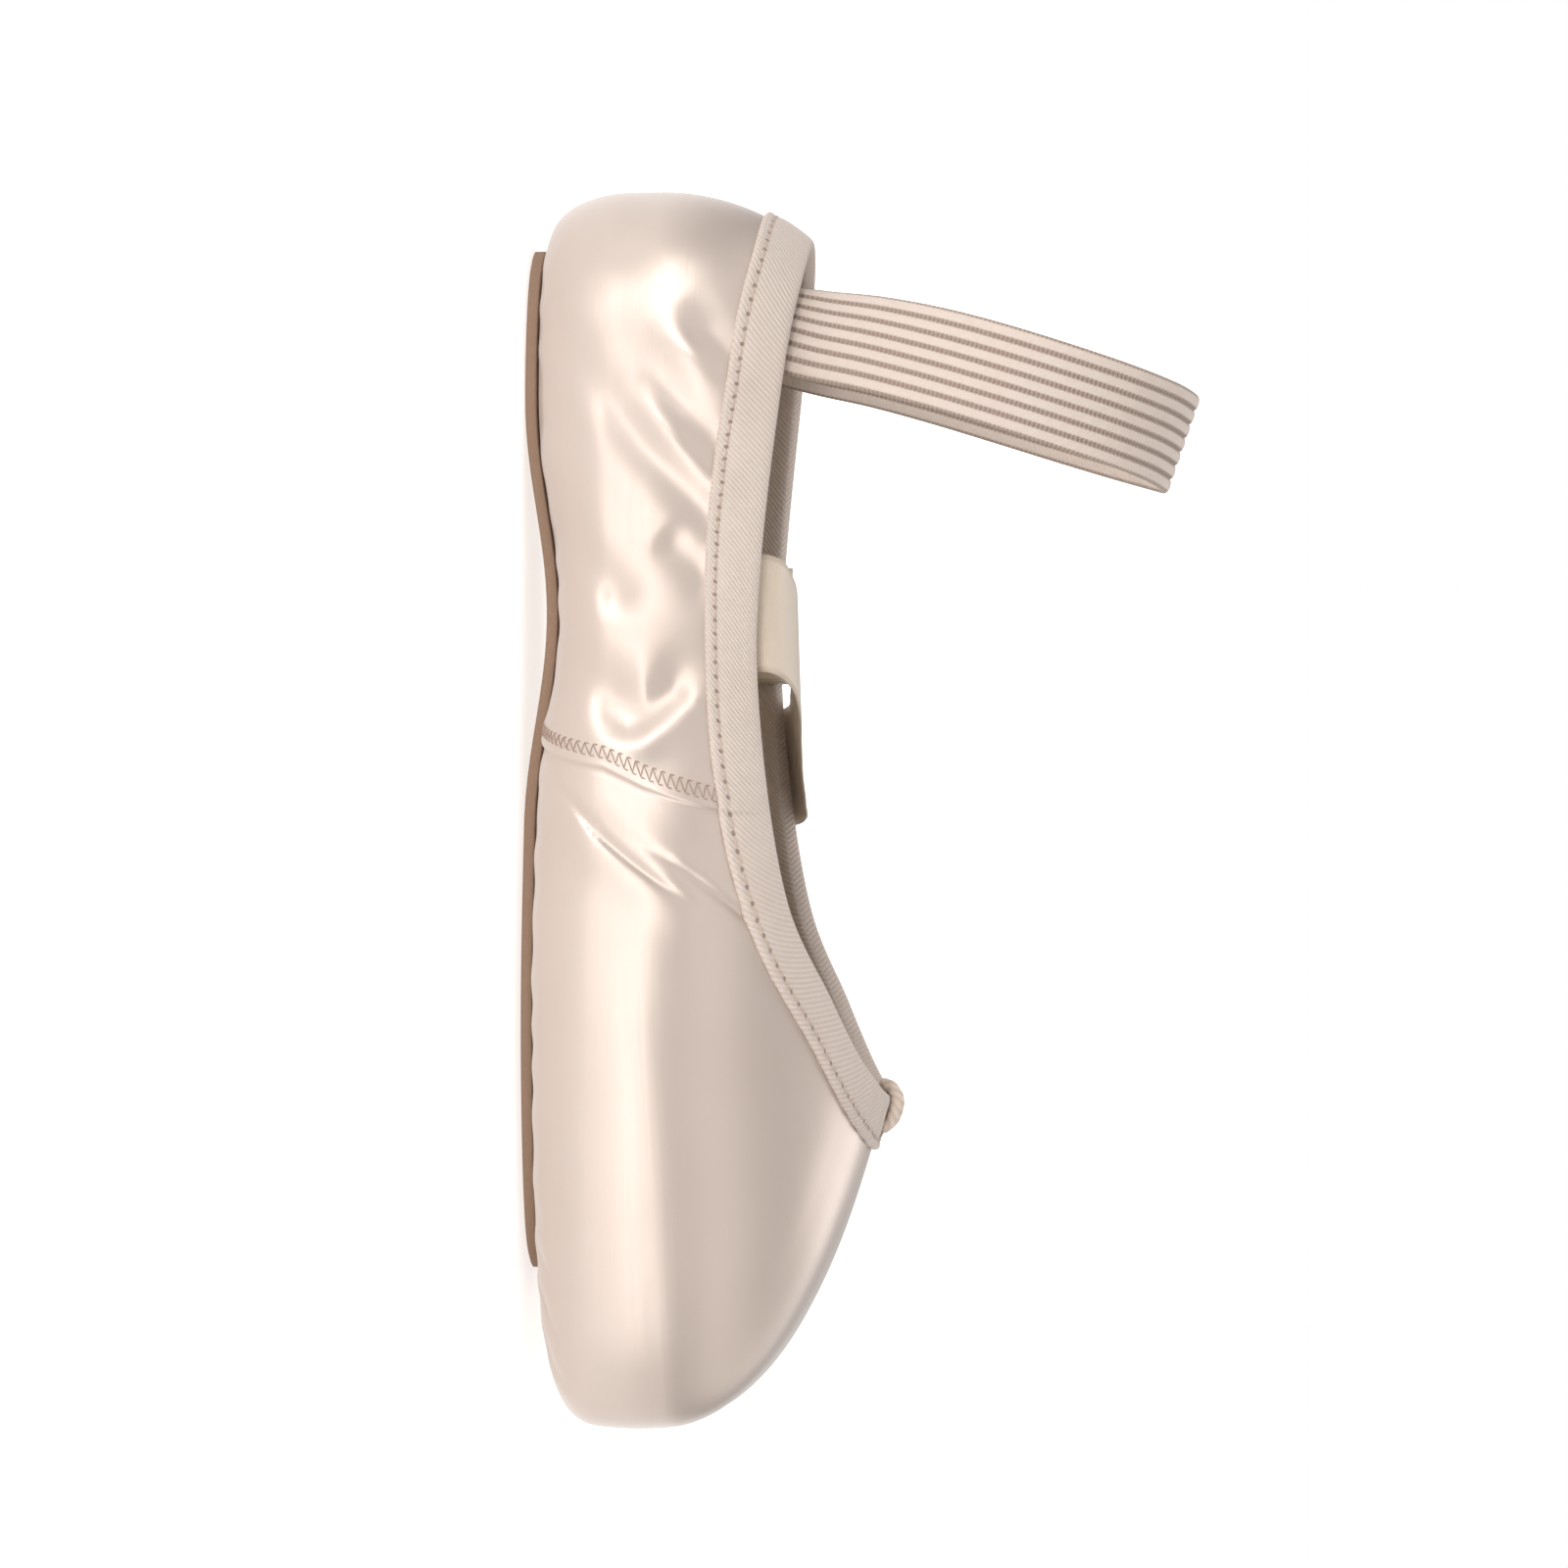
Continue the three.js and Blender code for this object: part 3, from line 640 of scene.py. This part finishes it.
def satinFinish(style):
    finish = Finish("satin_cloth")
    along, across = finish.cloth()
    soft = finish.noise(38.0, 3.0)
    thread = finish.node("ShaderNodeCombineXYZ", {}, {0: along * 0.035, 1: across * 1.4})
    slub = finish.noise(1.0, 2.0, at=thread)
    # Mark of the painted shade along the sole edge, and of the back seam line
    low = finish.mark("soleShadeAndSeamLine")
    tone = finish.blend(soft, style["colour"], style["shade"])
    tone = finish.blend(low * 0.55, tone, style["soleShade"])
    return finish.surface({
        "Base Color": tone,
        "Roughness": style["roughness"] + slub * 0.12 + low * 0.2,
        "Normal": finish.bump(slub, 0.00004, 0.35),
        "Metallic": style["metallic"],
        "Sheen Weight": 0.15,
        "Sheen Roughness": 0.35,
    })


def weaveFinish(name, colour, shade, pitch):
    finish = Finish(name)
    along, across = finish.cloth()
    over, under = along.wave(pitch), across.wave(pitch)
    weave = over * under + (1 - over) * (1 - under)
    fibre = finish.noise(700.0, 2.0)
    soft = finish.noise(45.0, 3.0)
    tone = finish.blend(soft * 0.55 + fibre * 0.2 + weave * 0.15, colour, shade)
    return finish.surface({
        "Base Color": tone,
        "Roughness": 0.85 + fibre * 0.1,
        "Normal": finish.bump(weave + fibre * 0.6, 0.00012, 0.6),
        "Sheen Weight": 0.1,
    })


def makeUpper(style):
    points = np.concatenate([outerWall, innerWall[:, ::-1]], axis=1)
    alongLength = lengthsAlong(outerWall[:, len(outerLevels) // 2], True)
    flat = flatPlaces(alongLength, np.concatenate([-outerDown[0], innerDown[0, ::-1], [-outerDown[0, 0]]]))
    shares = np.array([0] * (len(outerLevels) - 1) + [1] * (len(innerLevels) + 1))
    level = np.concatenate([outerLevels, innerLevels[::-1]])
    outside = np.arange(len(level)) < len(outerLevels)
    width, tone = style["backThread"]
    backLine = tone * bell((lines - halfCount) * last["heelStep"], width)[:, None] * (level > 1)
    # Painted shade at and just above the edge of the sole
    soleShade = 1 - smooth(*style["soleShadeLevels"], level)
    marks = {"soleShadeAndSeamLine": np.clip(soleShade + backLine, 0, 1) * outside}
    lining = weaveFinish("lining_cloth", style["lining"], style["liningShade"], style["liningPitch"])
    finishes = [satinFinish(style), lining]
    piece = gridPiece("satin_upper", "upper", points, finishes, flat, True, shares, marks)
    print("upper has", len(piece.data.polygons), "faces")


makeUpper(upperStyle)


# Places near the collar: down from the rim and off the wall, negative off on the inside
def collarSpots(down, off):
    outerSide = (outerWall, outerNormals, outerDown, outerLevels)
    innerSide = (innerWall, innerNormals, innerDown, innerLevels)
    sheet, normals, walked, levels = innerSide if off < 0 else outerSide
    level = np.array([np.interp(max(down, 0), row, levels[::-1]) for row in walked[:, ::-1]])
    index = np.clip(np.searchsorted(levels, level, side="right") - 1, 0, len(levels) - 2)
    share = ((level - levels[index]) / (levels[index + 1] - levels[index]))[:, None]
    row = np.arange(len(lines))
    spots = sheet[row, index] * (1 - share) + sheet[row, index + 1] * share
    normal = unit(normals[row, index] * (1 - share) + normals[row, index + 1] * share)
    if down < 0:
        spots = spots + unit(outerWall[:, -1] - outerWall[:, -2]) * -down
    return spots + normal * off, normal


# Twill tape folded over the rim, puckered towards the throat
tapeStyle = {
    "width": 9.5, "thickness": 0.8, "gap": 0.4, "pucker": 0.22, "puckerPitch": 4.6,
    # The shade colour is partly random tone and partly painted shade between the twill ribs
    "colour": linear(204, 190, 180), "shade": linear(182, 165, 153), "ribPitch": 1.05,
    "stitchPitch": 2.5, "stitchFromEdge": 1.9, "stitchGap": 0.28, "stitchSink": 0.2,
    "stitchRadius": 0.2, "stitchArch": 0.16, "stitchPinch": 0.22,
    # The dark hole colour is painted shade in the needle holes and the drawstring slit
    "thread": linear(196, 174, 158), "holeShade": linear(128, 106, 92),
    "slitAt": (-1.3, 6.0), "slitSize": (1.1, 2.0),  # along the tape from the throat, and down from the rim
}


def twillFinish(style, length):
    finish = Finish("twill_tape")
    along, across = finish.cloth()
    rib = (along + across * 0.9).wave(style["ribPitch"])
    fibre = finish.noise(800.0, 2.0)
    soft = finish.noise(60.0, 2.0)
    seamLine = style["width"] - style["stitchFromEdge"]
    fromLine = across.maths("ABSOLUTE") - (seamLine + style["gap"])
    alongStitch = along / style["stitchPitch"]
    fromHole = (alongStitch - alongStitch.maths("FLOOR") - 0.5) * style["stitchPitch"]
    away = (fromLine * fromLine + fromHole * fromHole) ** 0.5
    holeShade = 1 - away.within(0.22, 0.5)
    # Darker between the twill ribs: painted shade; soft and fibre are random tone
    tone = finish.blend(soft * 0.3 + (1 - rib) * 0.5 + fibre * 0.15, style["colour"], style["shade"])
    fromSlit = (along.maths("WRAP", length / 2, -length / 2) - style["slitAt"][0]) / style["slitSize"][0]
    slitDepth = (across - style["slitAt"][1]) / style["slitSize"][1]
    slit = 1 - ((fromSlit * fromSlit + slitDepth * slitDepth) ** 0.5).within(0.7, 1.1)
    holeShade = holeShade.maths("MAXIMUM", slit)
    # Needle holes and the drawstring slit: painted shade
    tone = finish.blend(holeShade * 0.8, tone, style["holeShade"])
    dent = 1 - fromLine.maths("ABSOLUTE").within(0.0, 1.0)
    height = rib * 0.7 + fibre * 0.5 - holeShade * 1.4 - dent * 0.6
    return finish.surface({
        "Base Color": tone,
        "Roughness": 0.82 + fibre * 0.12,
        "Normal": finish.bump(height, 0.0002, 0.9),
        "Sheen Weight": 0.2,
        "Sheen Roughness": 0.5,
    })


def tapeProfile(style):
    far, width = style["gap"] + style["thickness"], style["width"]
    outside = [(width, 0.1), (width + 0.05, 0.45), (width - 0.2, far - 0.25), (width - 0.7, far)]
    outside += [(down, far) for down in np.linspace(width - 1.4, 1.2, 9)]
    turn = [(0.2, far - 0.02), (-0.6, far - 0.22), (-1.05, far - 0.62), (-1.2, 0.02)]
    inside = [(down, -off) for down, off in reversed(outside + turn[:-1])]
    return outside + turn + inside


def makeTape(style):
    profile = tapeProfile(style)
    throat = 1 - smooth(0.7, 2.6, np.minimum(lines, fullCount - lines))
    walked = lengthsAlong(outerWall[:, -1], True)
    along = walked[:-1]
    pucker = np.sin(tau * along / style["puckerPitch"] + 1.3 * np.sin(along / 11)) * style["pucker"]
    pucker *= 0.3 + 0.7 * throat
    seamLine = style["width"] - style["stitchFromEdge"]
    columns = []
    for down, off in profile:
        spots, normal = collarSpots(down, off)
        bulge = pucker * np.sign(off) * smooth(-1.0, 3.0, down) * (1 - 0.8 * bell(down - seamLine, 1.0))
        pinch = -style["stitchPinch"] * np.sign(off) * bell(down - seamLine, 0.7)
        columns.append(spots + normal * (bulge + pinch)[:, None])
    points = np.stack(columns, axis=1)
    sideways = np.array([down + style["gap"] if off > 0 else -(down + style["gap"]) for down, off in profile])
    flat = flatPlaces(walked, np.append(sideways, sideways[0]))
    finish = twillFinish(style, float(walked[-1]))
    gridPiece("collar_tape", "collar_binding", points, [finish], flat, True)
    return walked


tapeWalked = makeTape(tapeStyle)
print("collar tape made")


# Short threads from start to end, arched over the cloth and sunk at both ends
def makeThreads(name, starts, ends, normals, radius, arch, finish):
    starts, ends, normals = [np.concatenate(part) for part in (starts, ends, normals)]
    shares = np.array([0, 0.12, 0.3, 0.5, 0.7, 0.88, 1])
    rise = np.sin(math.pi * shares) ** 0.6 * arch - 0.4 * radius
    size = radius * np.array([0.3, 0.8, 1, 1, 1, 0.8, 0.3])
    sides = 6
    along = unit(ends - starts)
    across = unit(np.cross(along, normals))
    upward = np.cross(across, along)
    middle = starts[:, None] + (ends - starts)[:, None] * shares[:, None] + upward[:, None] * rise[:, None]
    angles = np.arange(sides) * tau / sides
    ring = across[:, None] * np.cos(angles)[:, None] + upward[:, None] * np.sin(angles)[:, None]
    points = middle[:, :, None] + ring[:, None] * size[:, None, None]
    count, steps = points.shape[:2]
    base = np.arange(count)[:, None] * steps * sides
    faces = []
    for step in range(steps - 1):
        for side in range(sides):
            here, ahead, beside = step * sides, (step + 1) * sides, (side + 1) % sides
            faces += (base + np.array([here + side, ahead + side, ahead + beside, here + beside])).tolist()
    faces += (base + np.arange(sides)).tolist()
    faces += (base + (steps - 1) * sides + np.arange(sides)[::-1]).tolist()
    mesh = bpy.data.meshes.new(name)
    mesh.from_pydata((points.reshape(-1, 3) * mm).tolist(), [], faces)
    mesh.materials.append(finish)
    addPiece(name, None, mesh)


def threadFinish(name, colour):
    finish = Finish(name)
    twist = finish.noise(2600.0, 1.0)
    tone = finish.blend(twist, colour, tuple(part * 0.72 for part in colour))
    return finish.surface({"Base Color": tone, "Roughness": 0.6 + twist * 0.2})


def alongRing(values, walked, places):
    index = np.clip(np.searchsorted(walked, places, side="right") - 1, 0, len(values) - 1)
    share = ((places - walked[index]) / (walked[index + 1] - walked[index]))[:, None]
    return values[index] * (1 - share) + values[(index + 1) % len(values)] * share


def sewTape(style):
    pitch = style["stitchPitch"]
    places = (np.arange(int(tapeWalked[-1] / pitch)) + 0.5) * pitch
    starts, ends, normals = [], [], []
    for side in (1, -1):
        off = side * (style["gap"] + style["thickness"] - style["stitchSink"])
        spots, normal = collarSpots(style["width"] - style["stitchFromEdge"], off)
        stops = np.minimum(places + pitch - style["stitchGap"], tapeWalked[-1] - 0.01)
        starts.append(alongRing(spots, tapeWalked, places + style["stitchGap"]))
        ends.append(alongRing(spots, tapeWalked, stops))
        normals.append(alongRing(normal, tapeWalked, places) * side)
    radius, arch = style["stitchRadius"], style["stitchArch"]
    thread = threadFinish("sewing_thread", style["thread"])
    makeThreads("collar_stitches", starts, ends, normals, radius, arch, thread)


sewTape(tapeStyle)


# Zigzag stitches on both side seams
seamStyle = {
    "step": 0.85, "toToe": (-1.9, -0.3), "radius": 0.12, "arch": 0.1, "colour": linear(170, 146, 130),
    "fromLevel": 1.14, "standOff": 0.05, "underTape": 0.6,
}


def sewSideSeams(style):
    starts, ends, normals = [], [], []
    levels = np.linspace(style["fromLevel"], 4, 300)
    for side in (1, -1):
        rows = []
        for toToe in style["toToe"]:
            line = np.full(len(levels), last["seamAt"] - toToe / last["waistStep"])
            line = line if side > 0 else fullCount - line
            around = leaning(line, levels)
            spots, normal = skin(around, levels), skinNormal(around, levels)
            down = lengthsAlong(spots[::-1])[::-1]
            rise = clothRise(line, levels, spots, down) + style["standOff"]
            keep = down > tapeStyle["width"] - style["underTape"]
            rows.append((spots[keep] + normal[keep] * rise[keep][:, None], normal[keep]))
        walked = lengthsAlong(rows[0][0])
        places = np.arange(0, walked[-1], style["step"])
        picked = []
        for spots, normal in rows:
            own = lengthsAlong(spots)
            own = own / own[-1] * walked[-1]
            picked.append(tuple(np.stack([np.interp(places, own, part[:, axis]) for axis in range(3)], axis=1)
                                for part in (spots, normal)))
        (back, backNormal), (front, frontNormal) = picked
        onBack = (np.arange(len(places)) % 2 == 0)[:, None]
        corner, face = np.where(onBack, back, front), unit(np.where(onBack, backNormal, frontNormal))
        even, odd = np.arange(0, len(places) - 1, 2), np.arange(1, len(places) - 1, 2)
        starts += [corner[:-1], back[even], front[odd]]
        ends += [corner[1:], back[even + 1], front[odd + 1]]
        normals += [face[:-1], backNormal[even], frontNormal[odd]]
    finish = threadFinish("seam_thread", style["colour"])
    makeThreads("side_seam_stitches", starts, ends, normals, style["radius"], style["arch"], finish)


sewSideSeams(seamStyle)
print("seams sewn")


# Drawstring end: one turn of twisted cord, out of a slit in the tape, over the rim and back
knotStyle = {
    "diameter": 2.4, "plies": 3, "twistPitch": 5.0, "steps": 120, "sides": 24,
    "groove": 0.1, "fullness": 1.02, "endRound": 0.6,
    # The shade colour is painted shade between the plies, and random fibre tone
    "colour": linear(214, 198, 184), "shade": linear(180, 160, 144),
}
knotTurn = [  # down from the rim, across the throat, off the wall
    (5.4, -1.9, 0.6), (4.2, -1.5, 1.9), (1.6, -0.8, 2.3), (-0.8, 0, 2.1), (-2.5, 0.4, 0.7), (-2.7, 1.6, -0.8),
    (-2.5, 3, 0.5), (-0.8, 2.9, 2.2), (1.5, 1.7, 2.6), (3.6, 0.4, 2.2), (5.4, -0.7, 0.6),
]


def cordFinish(style):
    finish = Finish("drawstring_cord")
    along, across = finish.cloth()
    strand = (along / style["twistPitch"] + across).wave(1 / style["plies"])
    fibre = finish.noise(1500.0, 2.0)
    # Darker between the plies: painted shade; fibre is random tone
    tone = finish.blend((1 - strand) * 0.55 + fibre * 0.3, style["colour"], style["shade"])
    return finish.surface({
        "Base Color": tone,
        "Roughness": 0.75 + fibre * 0.15,
        "Normal": finish.bump(fibre, 0.00012, 0.5),
        "Sheen Weight": 0.15,
    })


def makeKnot(style):
    radius = style["diameter"] / 2
    spots = []
    for down, across, off in knotTurn:
        place, normal = collarSpots(down, 0.0)
        spots.append(place[0] * (1, 0, 1) + normal[0] * off + np.array([0, across, 0]))
    at = np.linspace(0, len(spots) - 1, style["steps"] + 1)
    middle = splineAt(spots, at, even=True)
    walked = lengthsAlong(middle)
    along = unit(splineAt(spots, at + 0.01, even=True) - splineAt(spots, at - 0.01, even=True))
    side = [unit(np.cross(along[0], (0, 0, 1)))]
    for step in along[1:]:
        side.append(unit(side[-1] - step * (side[-1] @ step)))
    side = np.array(side)
    other = np.cross(along, side)
    angles = np.arange(style["sides"]) * tau / style["sides"]
    twist = angles - tau * walked[:, None] / style["twistPitch"]
    lobes = 1 - style["groove"] * np.abs(np.sin(style["plies"] / 2 * twist)) ** 0.5
    lobes = style["fullness"] * lobes / lobes.max()
    fromEnd = np.minimum(walked, walked[-1] - walked)
    ends = np.sqrt(np.clip(fromEnd / (style["endRound"] * radius), 0.05, 1))
    ring = side[:, None] * np.cos(angles)[:, None] + other[:, None] * np.sin(angles)[:, None]
    points = middle[:, None] + ring * (radius * lobes * ends[:, None])[..., None]
    flat = flatPlaces(walked, np.linspace(0, 1, style["sides"] + 1))
    gridPiece("drawstring_end", "drawstring_knot", points, [cordFinish(style)], flat)


makeKnot(knotStyle)
print("drawstring tied")


# Ribbed elastic over the instep, sewn inside the collar beside the heel
elasticStyle = {
    "width": 19.0, "thickness": 1.4, "ribs": 7, "valley": 0.55, "stepsPerRow": 12, "acrossPerRib": 8,
    "sewnAt": 9.5, "heading": -27.0, "cup": 2.6, "sewn": 12.0,
    # The shade colour is painted shade in the rib valleys
    "colour": linear(207, 191, 180), "shade": linear(150, 131, 118),
}
freeElastic = [  # x, y, z, heading, tilt and cup, from the collar up to the middle
    [-87.6, -18.2, 54, -24, -8, 2], [-85.4, -20.4, 64, -17, -14, 1.2], [-82.2, -23.2, 76, -9, -18, 0.4],
    [-78.6, -25, 88, -3, -19, 0], [-74.8, -24.6, 100, 0, -19, 0], [-71.4, -21, 110.5, 0, -19, 0],
    [-68.9, -13.6, 117.8, 0, -19, 0], [-67.6, -4.8, 120.8, 0, -19, 0],
]


def elasticFinish(style):
    finish = Finish("ribbed_elastic")
    along, across = finish.cloth()
    pitch = style["width"] / style["ribs"]
    rib = (across + pitch * (0.25 if style["ribs"] % 2 else 0.75)).wave(pitch)
    bead = along.wave(0.85)
    thread = (along + across * 0.6).wave(0.5)
    fibre = finish.noise(900.0, 2.0)
    valley = 1 - rib.within(0.1, 0.55)
    # Darker in the rib valleys: painted shade; fibre and thread add a little random tone
    valleyShadeAndFibre = valley * (0.65 + bead * 0.35) + fibre * 0.18 + thread * 0.08
    tone = finish.blend(valleyShadeAndFibre, style["colour"], style["shade"])
    height = thread * 0.35 * (1 - valley) + bead * valley * 1.2 + fibre * 0.5
    return finish.surface({
        "Base Color": tone,
        "Roughness": 0.7 + fibre * 0.15 + valley * 0.1,
        "Normal": finish.bump(height, 0.0002, 0.7),
        "Sheen Weight": 0.2,
    })


def sewnElasticRows(style):
    seat = tapeStyle["gap"] + tapeStyle["thickness"] + last["fitGap"] + style["thickness"] / 2
    around = style["sewnAt"]
    fine = np.linspace(3, 4, 400)
    walked = lengthsAlong(skin(around, fine)[::-1])
    rows = []
    for down in (style["sewn"], style["sewn"] / 2, 0):
        level = float(np.interp(down, walked, fine[::-1]))
        spot = skin(around, level)
        spot = spot - skinNormal(around, level) * (wallAt(spot[0], level) + seat)
        rows.append([*spot, style["heading"], 0, style["cup"]])
    return rows


def makeElastic(style):
    half = sewnElasticRows(style) + freeElastic
    route = half + [[x, -y, z, -heading, tilt, cup] for x, y, z, heading, tilt, cup in reversed(half)]
    middle, across, off, cup = bandFrame(route, style["width"], style["thickness"], style["stepsPerRow"])
    spots = np.linspace(-1, 1, style["ribs"] * style["acrossPerRib"] + 1)
    ribWave = np.abs(np.sin(style["ribs"] * math.pi * (spots + 1) / 2)) ** 0.55
    relief = style["thickness"] / 2 - style["valley"] * (1 - ribWave)
    points, flat = bandSheet(middle, across, off, spots, style["width"], cup[:, None] * spots ** 2, relief)
    gridPiece("instep_elastic", "heel_elastic", points, [elasticFinish(style)], flat)


makeElastic(elasticStyle)
print("elastic made")


# Sole and insole: plates with the outline of the lasted edge
soleStyle = {
    "stations": 240, "across": 26, "endInset": 0.12, "edgeRound": 0.5, "edgeWidth": 0.8, "topRound": 0.8,
    "colour": linear(168, 143, 122), "shade": linear(126, 102, 84), "edge": linear(140, 114, 95),
}
sockStyle = {"colour": linear(222, 211, 196), "shade": linear(203, 189, 171), "pitch": 0.8}


def leatherFinish(style):
    finish = Finish("sole_leather")
    grain = finish.noise(420.0, 6.0, 0.65)
    nap = finish.noise(2200.0, 2.0)
    rubbed = finish.noise(28.0, 4.0)
    rim = finish.mark("rim")
    tone = finish.blend(grain * 0.6 + nap * 0.25, style["colour"], style["shade"])
    tone = finish.blend(rubbed.within(0.45, 0.75) * 0.45, tone, style["shade"])
    tone = finish.blend(rim * 0.8, tone, style["edge"])
    return finish.surface({
        "Base Color": tone,
        "Roughness": 0.78 + nap * 0.18 - rubbed * 0.1,
        "Normal": finish.bump(grain + nap * 0.5, 0.00025, 0.6),
    })


def makePlate(name, node, grow, bottomAt, thickness, skive, finish, style):
    inset = style["endInset"]
    turn = (1 - np.cos(np.linspace(0, math.pi, style["stations"]))) / 2
    x, y = soleEdge(inset + (halfCount - 2 * inset) * turn, np.full(len(turn), grow)).T
    spread = np.sin(np.linspace(-math.pi / 2, math.pi / 2, style["across"]))
    bottom = bottomAt(x)[:, None]
    fromEdge = (1 - np.abs(spread)) * y[:, None]
    rounding = style["edgeRound"] * (1 - np.sqrt(np.clip(fromEdge / style["edgeWidth"], 0, 1)))
    under = np.maximum(y - skive, y / 2)
    long = np.repeat(x[:, None], style["across"], 1)
    top = np.stack([long, spread * y[:, None], bottom + thickness - rounding * style["topRound"]], axis=-1)
    low = np.stack([long, -spread * under[:, None], bottom + rounding], axis=-1)
    points = np.concatenate([top, low], axis=1)
    walked = lengthsAlong(points[:, style["across"] // 2])
    flat = flatPlaces(walked, np.concatenate([spread, -spread, spread[:1]]) * y[:, None])
    rim = np.concatenate([1 - smooth(0.3, 1.6, fromEdge)] * 2, axis=1)
    gridPiece(name, node, points, [finish], flat, marks={"rim": rim})


def insoleBottom(x):
    return upperBottom(x) + wallAt(x, 1.0) + last["insoleSeat"]


leather = leatherFinish(soleStyle)
sockCloth = weaveFinish("sock_cloth", sockStyle["colour"], sockStyle["shade"], sockStyle["pitch"])
makePlate("leather_sole", "outsole", 0.0, soleLift,
          last["outsoleThickness"], last["outsoleSkive"], leather, soleStyle)
makePlate("sock_lining", "insole", last["insoleGrow"], insoleBottom,
          last["insoleThickness"], 0.0, sockCloth, soleStyle)
print("sole and insole made")


# White studio: a pale floor that gives light back, a bright horizon and a dimmer ceiling
studio = {
    "floorSize": 60.0, "floorLevel": -0.0002, "floorColour": (0.8, 0.8, 0.8), "floorGlow": 0.64,
    # height and light
    "sky": [(0.06, 1.0), (0.16, 0.34), (0.34, 0.3), (0.58, 1.15), (0.74, 1.15), (0.96, 0.5)],
    "lamps": {  # place, aim, size, power
        "lowStrip": ((0.05, -0.3, 0.008), (0.05, 0, 0.01), (0.75, 0.016), 0.13),
        "floorCard": ((0.05, -0.19, 0.02), (0.05, -0.04, 0.05), (0.36, 0.04), 0.09),
        "backFill": ((0.05, 0.5, 0.95), (0, 0.05, 0.03), (0.7, 0.7), 2.6),
        "heelSide": ((-0.45, -0.4, 0.06), (-0.06, 0, 0.03), (0.25, 0.1), 0.6),
    },
}


def makeStudio(settings):
    half = settings["floorSize"] / 2
    mesh = bpy.data.meshes.new("floor")
    corners = [(-half, -half), (half, -half), (half, half), (-half, half)]
    mesh.from_pydata([(x, y, settings["floorLevel"]) for x, y in corners], [], [range(4)])
    finish = Finish("studio_floor")
    mesh.materials.append(finish.surface({
        "Base Color": (*settings["floorColour"], 1),
        "Roughness": 0.5,
        "Emission Color": (1, 1, 1, 1),
        "Emission Strength": settings["floorGlow"],
    }))
    addObject("floor", mesh)
    for name, (place, aim, (wide, tall), power) in settings["lamps"].items():
        data = bpy.data.lights.new(name, "AREA")
        data.shape = "RECTANGLE"
        data.size, data.size_y = wide, tall
        data.energy = power
        lamp = addObject(name, data)
        lamp.location = place
        lamp.rotation_euler = (Vector(aim) - Vector(place)).to_track_quat("-Z", "Y").to_euler()
        lamp.visible_camera = False
    sky = Finish("studio", bpy.data.worlds)
    heading = sky.node("ShaderNodeTexCoord", {}, {}, "Generated")
    upward = sky.node("ShaderNodeSeparateXYZ", {}, {0: heading}, 2)
    stops = [(height, (light, light, light)) for height, light in settings["sky"]]
    light = sky.node("ShaderNodeValToRGB", {"stops": stops}, {0: upward})
    bpy.context.scene.world = sky.backdrop({"Color": light})
    bpy.context.scene.view_settings.view_transform = "Standard"


makeStudio(studio)
print("studio lit")
